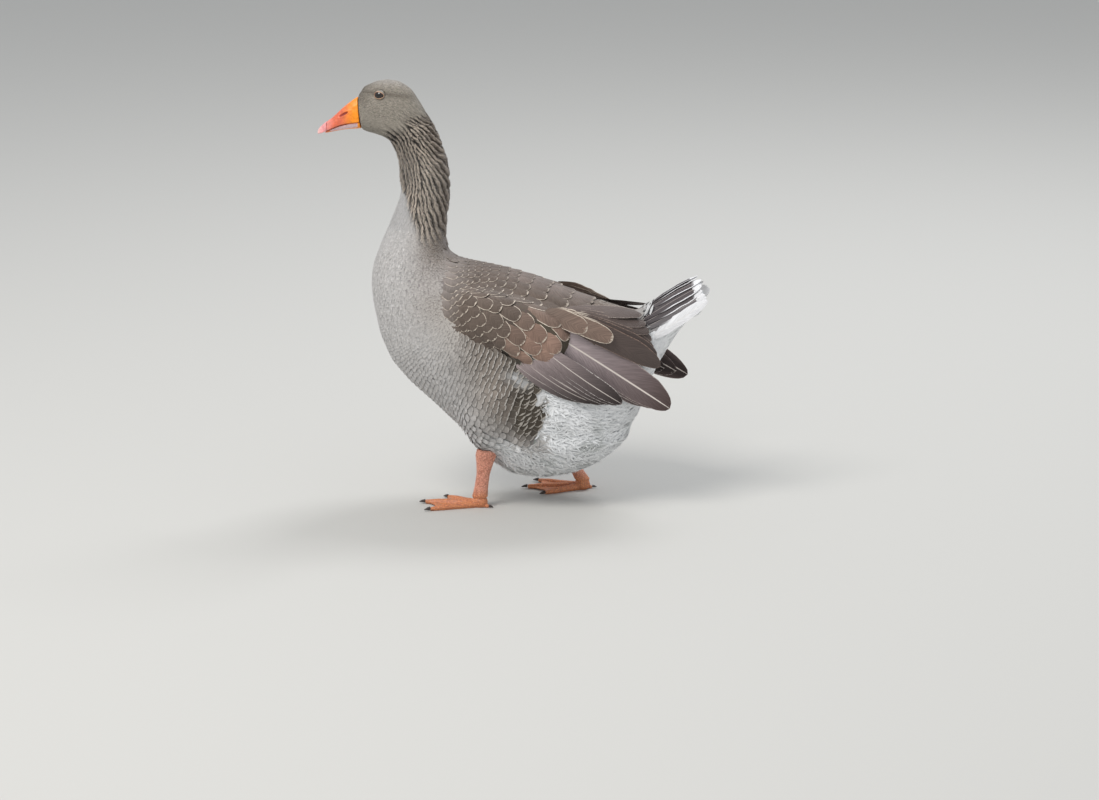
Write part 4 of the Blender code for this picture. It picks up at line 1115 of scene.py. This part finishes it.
dress(upper_jaw, bill_finish, "orange_bill", "bill_upper")

nail = fine_copy("bill_nail_horn", ["bill_nail"], NAIL_GRAIN, 4)
forward, _ = boxed(spots(nail.data), "bill_nail")
paint(nail, mixed(BILL_PINK, NAIL_PINK, ramp(forward, 0.3, 1.0)))
dress(nail, bill_finish, "bill_nail", "bill_nail")

lower_jaw = fine_copy("bill_lower_sheath", ["bill_lower"], LOWER_GRAIN, 4)
points, lean = spots(lower_jaw.data), facing(lower_jaw.data)
jaw_low, jaw_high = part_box("bill_lower")
forward, _ = boxed(points, "bill_lower")
comb_low = np.interp(forward, (0, 0.8, 1), (0.62, 0.20, 0.2)) * (jaw_high.z - jaw_low.z) + jaw_low.z
comb = ramp(points[:, 2] - comb_low, -0.3 * MM, 0.3 * MM) * ramp(forward, 0.06, 0.1)
comb = comb * (1 - ramp(forward, 0.8, 0.9)) * ramp(np.abs(lean[:, 0]), 0.2, 0.5)
plates = 0.5 + 0.5 * np.cos(points[:, 1] * 2 * math.pi / COMB_PITCH)
put_spots(lower_jaw.data, points - lean * (comb * (0.35 + 0.35 * plates) * MM)[:, None])
jaw_colour = mixed(BILL_ORANGE, BILL_CORAL, 0.5 * ramp(forward, 0.2, 0.8))
paint(lower_jaw, mixed(jaw_colour, COMB_PALE, comb * (1 - 0.15 * plates)))
dress(lower_jaw, bill_finish, "orange_bill", "bill_lower")

# ------------------------------------------------------------------ the eyes
# Dark brown glossy eyeballs set in the sides of the head, each in a thin bare ring of pinkish tan lid
# that narrows to a corner in front and behind.
EYE_LOOK = (0.93, -0.30, 0.16)
EYE_GROWTH, EYE_SINK = 1.2, 1.8 * MM
PUPIL, IRIS, EYE_RIM = srgb(12, 9, 8), srgb(52, 32, 21), srgb(20, 14, 12)
LID_LONG, LID_HIGH = 7.2 * MM, 4.3 * MM
# For each loop of the lid's ring: how much longer and higher than the opening it is, and its lift, in mm.
LID_LOOPS = ((0.0, 0.0, 0.15), (0.3, 0.3, 0.6), (0.6, 0.6, 0.5), (0.8, 1.6, 0.35), (0.9, 2.8, 0.2),
             (1.0, 3.8, 0.0), (0.4, 0.4, -1.2))
LID_STEPS, LID_TILT, LID_COLOUR = 48, math.radians(4), srgb(196, 158, 130)
eye_finish, tree, shader = plain_material("eye_glass", (0.02, 0.012, 0.008), 0.08,
                                          {"Coat Weight": 0.55, "Coat Roughness": 0.02})
dust = add_node(tree, "ShaderNodeTexNoise", {"Scale": 900})
tree.links.new(mix_node(tree, "MULTIPLY", 0.5, tint_node(tree).outputs["Color"], dust.outputs["Color"]),
               shader.inputs["Base Color"])
lid_finish = horn_material("bare_lid", 0.5, 0.05, 900, 0.0002)
for node, side in (("eye_left", 1), ("eye_right", -1)):
    low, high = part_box(node)
    look_way = unit(np.array(EYE_LOOK) * (side, 1, 1))
    middle, radius = np.array((low + high) / 2) - look_way * EYE_SINK, (high.x - low.x) / 2 * EYE_GROWTH
    ball = bmesh.new()
    bmesh.ops.create_uvsphere(ball, u_segments=40, v_segments=28, radius=radius - 0.05 * MM)
    ball_mesh = bpy.data.meshes.new(f"{node}_ball")
    ball.to_mesh(ball_mesh)
    ball.free()
    ball_points = spots(ball_mesh) + middle
    put_spots(ball_mesh, ball_points)
    ball_mesh.shade_smooth()
    eyeball = link_object(f"{node}_ball", ball_mesh)
    from_pupil = np.degrees(np.arccos(np.clip(unit(ball_points - middle) @ look_way, -1, 1)))
    paint(eyeball, mixed(mixed(PUPIL, IRIS, ramp(from_pupil, 26, 32)), EYE_RIM, ramp(from_pupil, 48, 56)))
    dress(eyeball, eye_finish, "eye", node)

    sideways = unit(np.cross(look_way, (0, 0, 1)))
    upward = np.cross(sideways, look_way)
    lid_points, lid_faces = [], []
    for ring, (more_long, more_high, lift) in enumerate(LID_LOOPS):
        first, after = ring * LID_STEPS, (ring + 1) % len(LID_LOOPS) * LID_STEPS
        for step in range(LID_STEPS):
            cosine, sine = math.cos(2 * math.pi * step / LID_STEPS), math.sin(2 * math.pi * step / LID_STEPS)
            long_way = (LID_LONG + more_long * MM) * math.copysign(abs(cosine) ** 0.92, cosine)
            high_way = (LID_HIGH + more_high * MM) * sine * abs(sine) ** 0.12
            flat = (long_way * math.cos(LID_TILT) - high_way * math.sin(LID_TILT),
                    long_way * math.sin(LID_TILT) + high_way * math.cos(LID_TILT))
            size = math.hypot(*flat)
            dome = 0
            if size < radius:
                dome = math.sqrt(max((radius + lift * MM) ** 2 - min(size, radius * 0.999) ** 2, 0))
            lid_points.append(middle + sideways * flat[0] + upward * flat[1]
                              + look_way * max(dome, lift * MM + 1.2 * MM))
            beside = (step + 1) % LID_STEPS
            lid_faces.append((first + step, first + beside, after + beside, after + step))
    lid_mesh = bpy.data.meshes.new(f"{node}_lid")
    lid_mesh.from_pydata(lid_points, [], lid_faces)
    mend = bmesh.new()
    mend.from_mesh(lid_mesh)
    bmesh.ops.recalc_face_normals(mend, faces=mend.faces)
    mend.to_mesh(lid_mesh)
    mend.free()
    lid_mesh.shade_smooth()
    lid = link_object(f"{node}_lid", lid_mesh)
    bare = np.repeat([more_high < 1.0 for _, more_high, _ in LID_LOOPS], LID_STEPS)
    paint(lid, mixed(HEAD_GREY * 0.8, LID_COLOUR, bare))
    dress(lid, lid_finish, "eye")

# ------------------------------------------------------------------ legs, feet and claws
# Salmon shanks and orange webbed feet under a net of small flat scales, with short dark claws.
LEG_GRAIN, CLAW_GRAIN, SCALE_SIZE, SCALE_HIGH = 0.9 * MM, 0.4 * MM, 2.6 * MM, 0.28 * MM
SHANK_THICKER = 3.2 * MM  # fore and aft, near the shank's top, where down lies on it
LEG_SALMON, FOOT_ORANGE, SCALE_SEAM = srgb(228, 162, 138), srgb(218, 142, 94), srgb(158, 92, 72)
CLAW_DARK = srgb(58, 46, 42)
leg_finish = horn_material("leg_skin", 0.5, 0.08, 700, 0.0002)
claw_finish = horn_material("claw_horn", 0.38, 0.2, 500, 0.0002)
for _, side_name in SIDES:
    leg_nodes = [f"shank_{side_name}", f"foot_{side_name}"]
    leg = fine_copy(f"leg_{side_name}_scaled", leg_nodes, LEG_GRAIN, 3)
    points, lean = spots(leg.data), facing(leg.data)
    nearest = np.array([noise.voronoi(Vector(point) / SCALE_SIZE)[0][:2] for point in points])
    plate = ramp(nearest[:, 1] - nearest[:, 0], 0.02, 0.3)
    clear_floor = ramp(points[:, 2], 0.4 * MM, 2.0 * MM)
    thicker = SHANK_THICKER * np.abs(lean[:, 1]) * np.clip((points[:, 2] / MM - 50) / 40, 0, 1)
    points = points + lean * thicker[:, None]
    points = points + lean * ((plate - 1) * SCALE_HIGH * clear_floor)[:, None]
    put_spots(leg.data, points)
    colour = mixed(FOOT_ORANGE, LEG_SALMON, ramp(points[:, 2], 14 * MM, 30 * MM))
    paint(leg, mixed(SCALE_SEAM, colour, 0.25 + 0.75 * plate))
    dress(leg, leg_finish, "leg_skin", *leg_nodes)
    for toe in ("inner", "middle", "outer", "hind"):
        node = f"claw_{side_name}_{toe}"
        claw = fine_copy(f"{node}_horn", [node], CLAW_GRAIN, 2)
        paint(claw, np.tile(CLAW_DARK, (len(claw.data.vertices), 1)))
        dress(claw, claw_finish, "claw_horn", node)
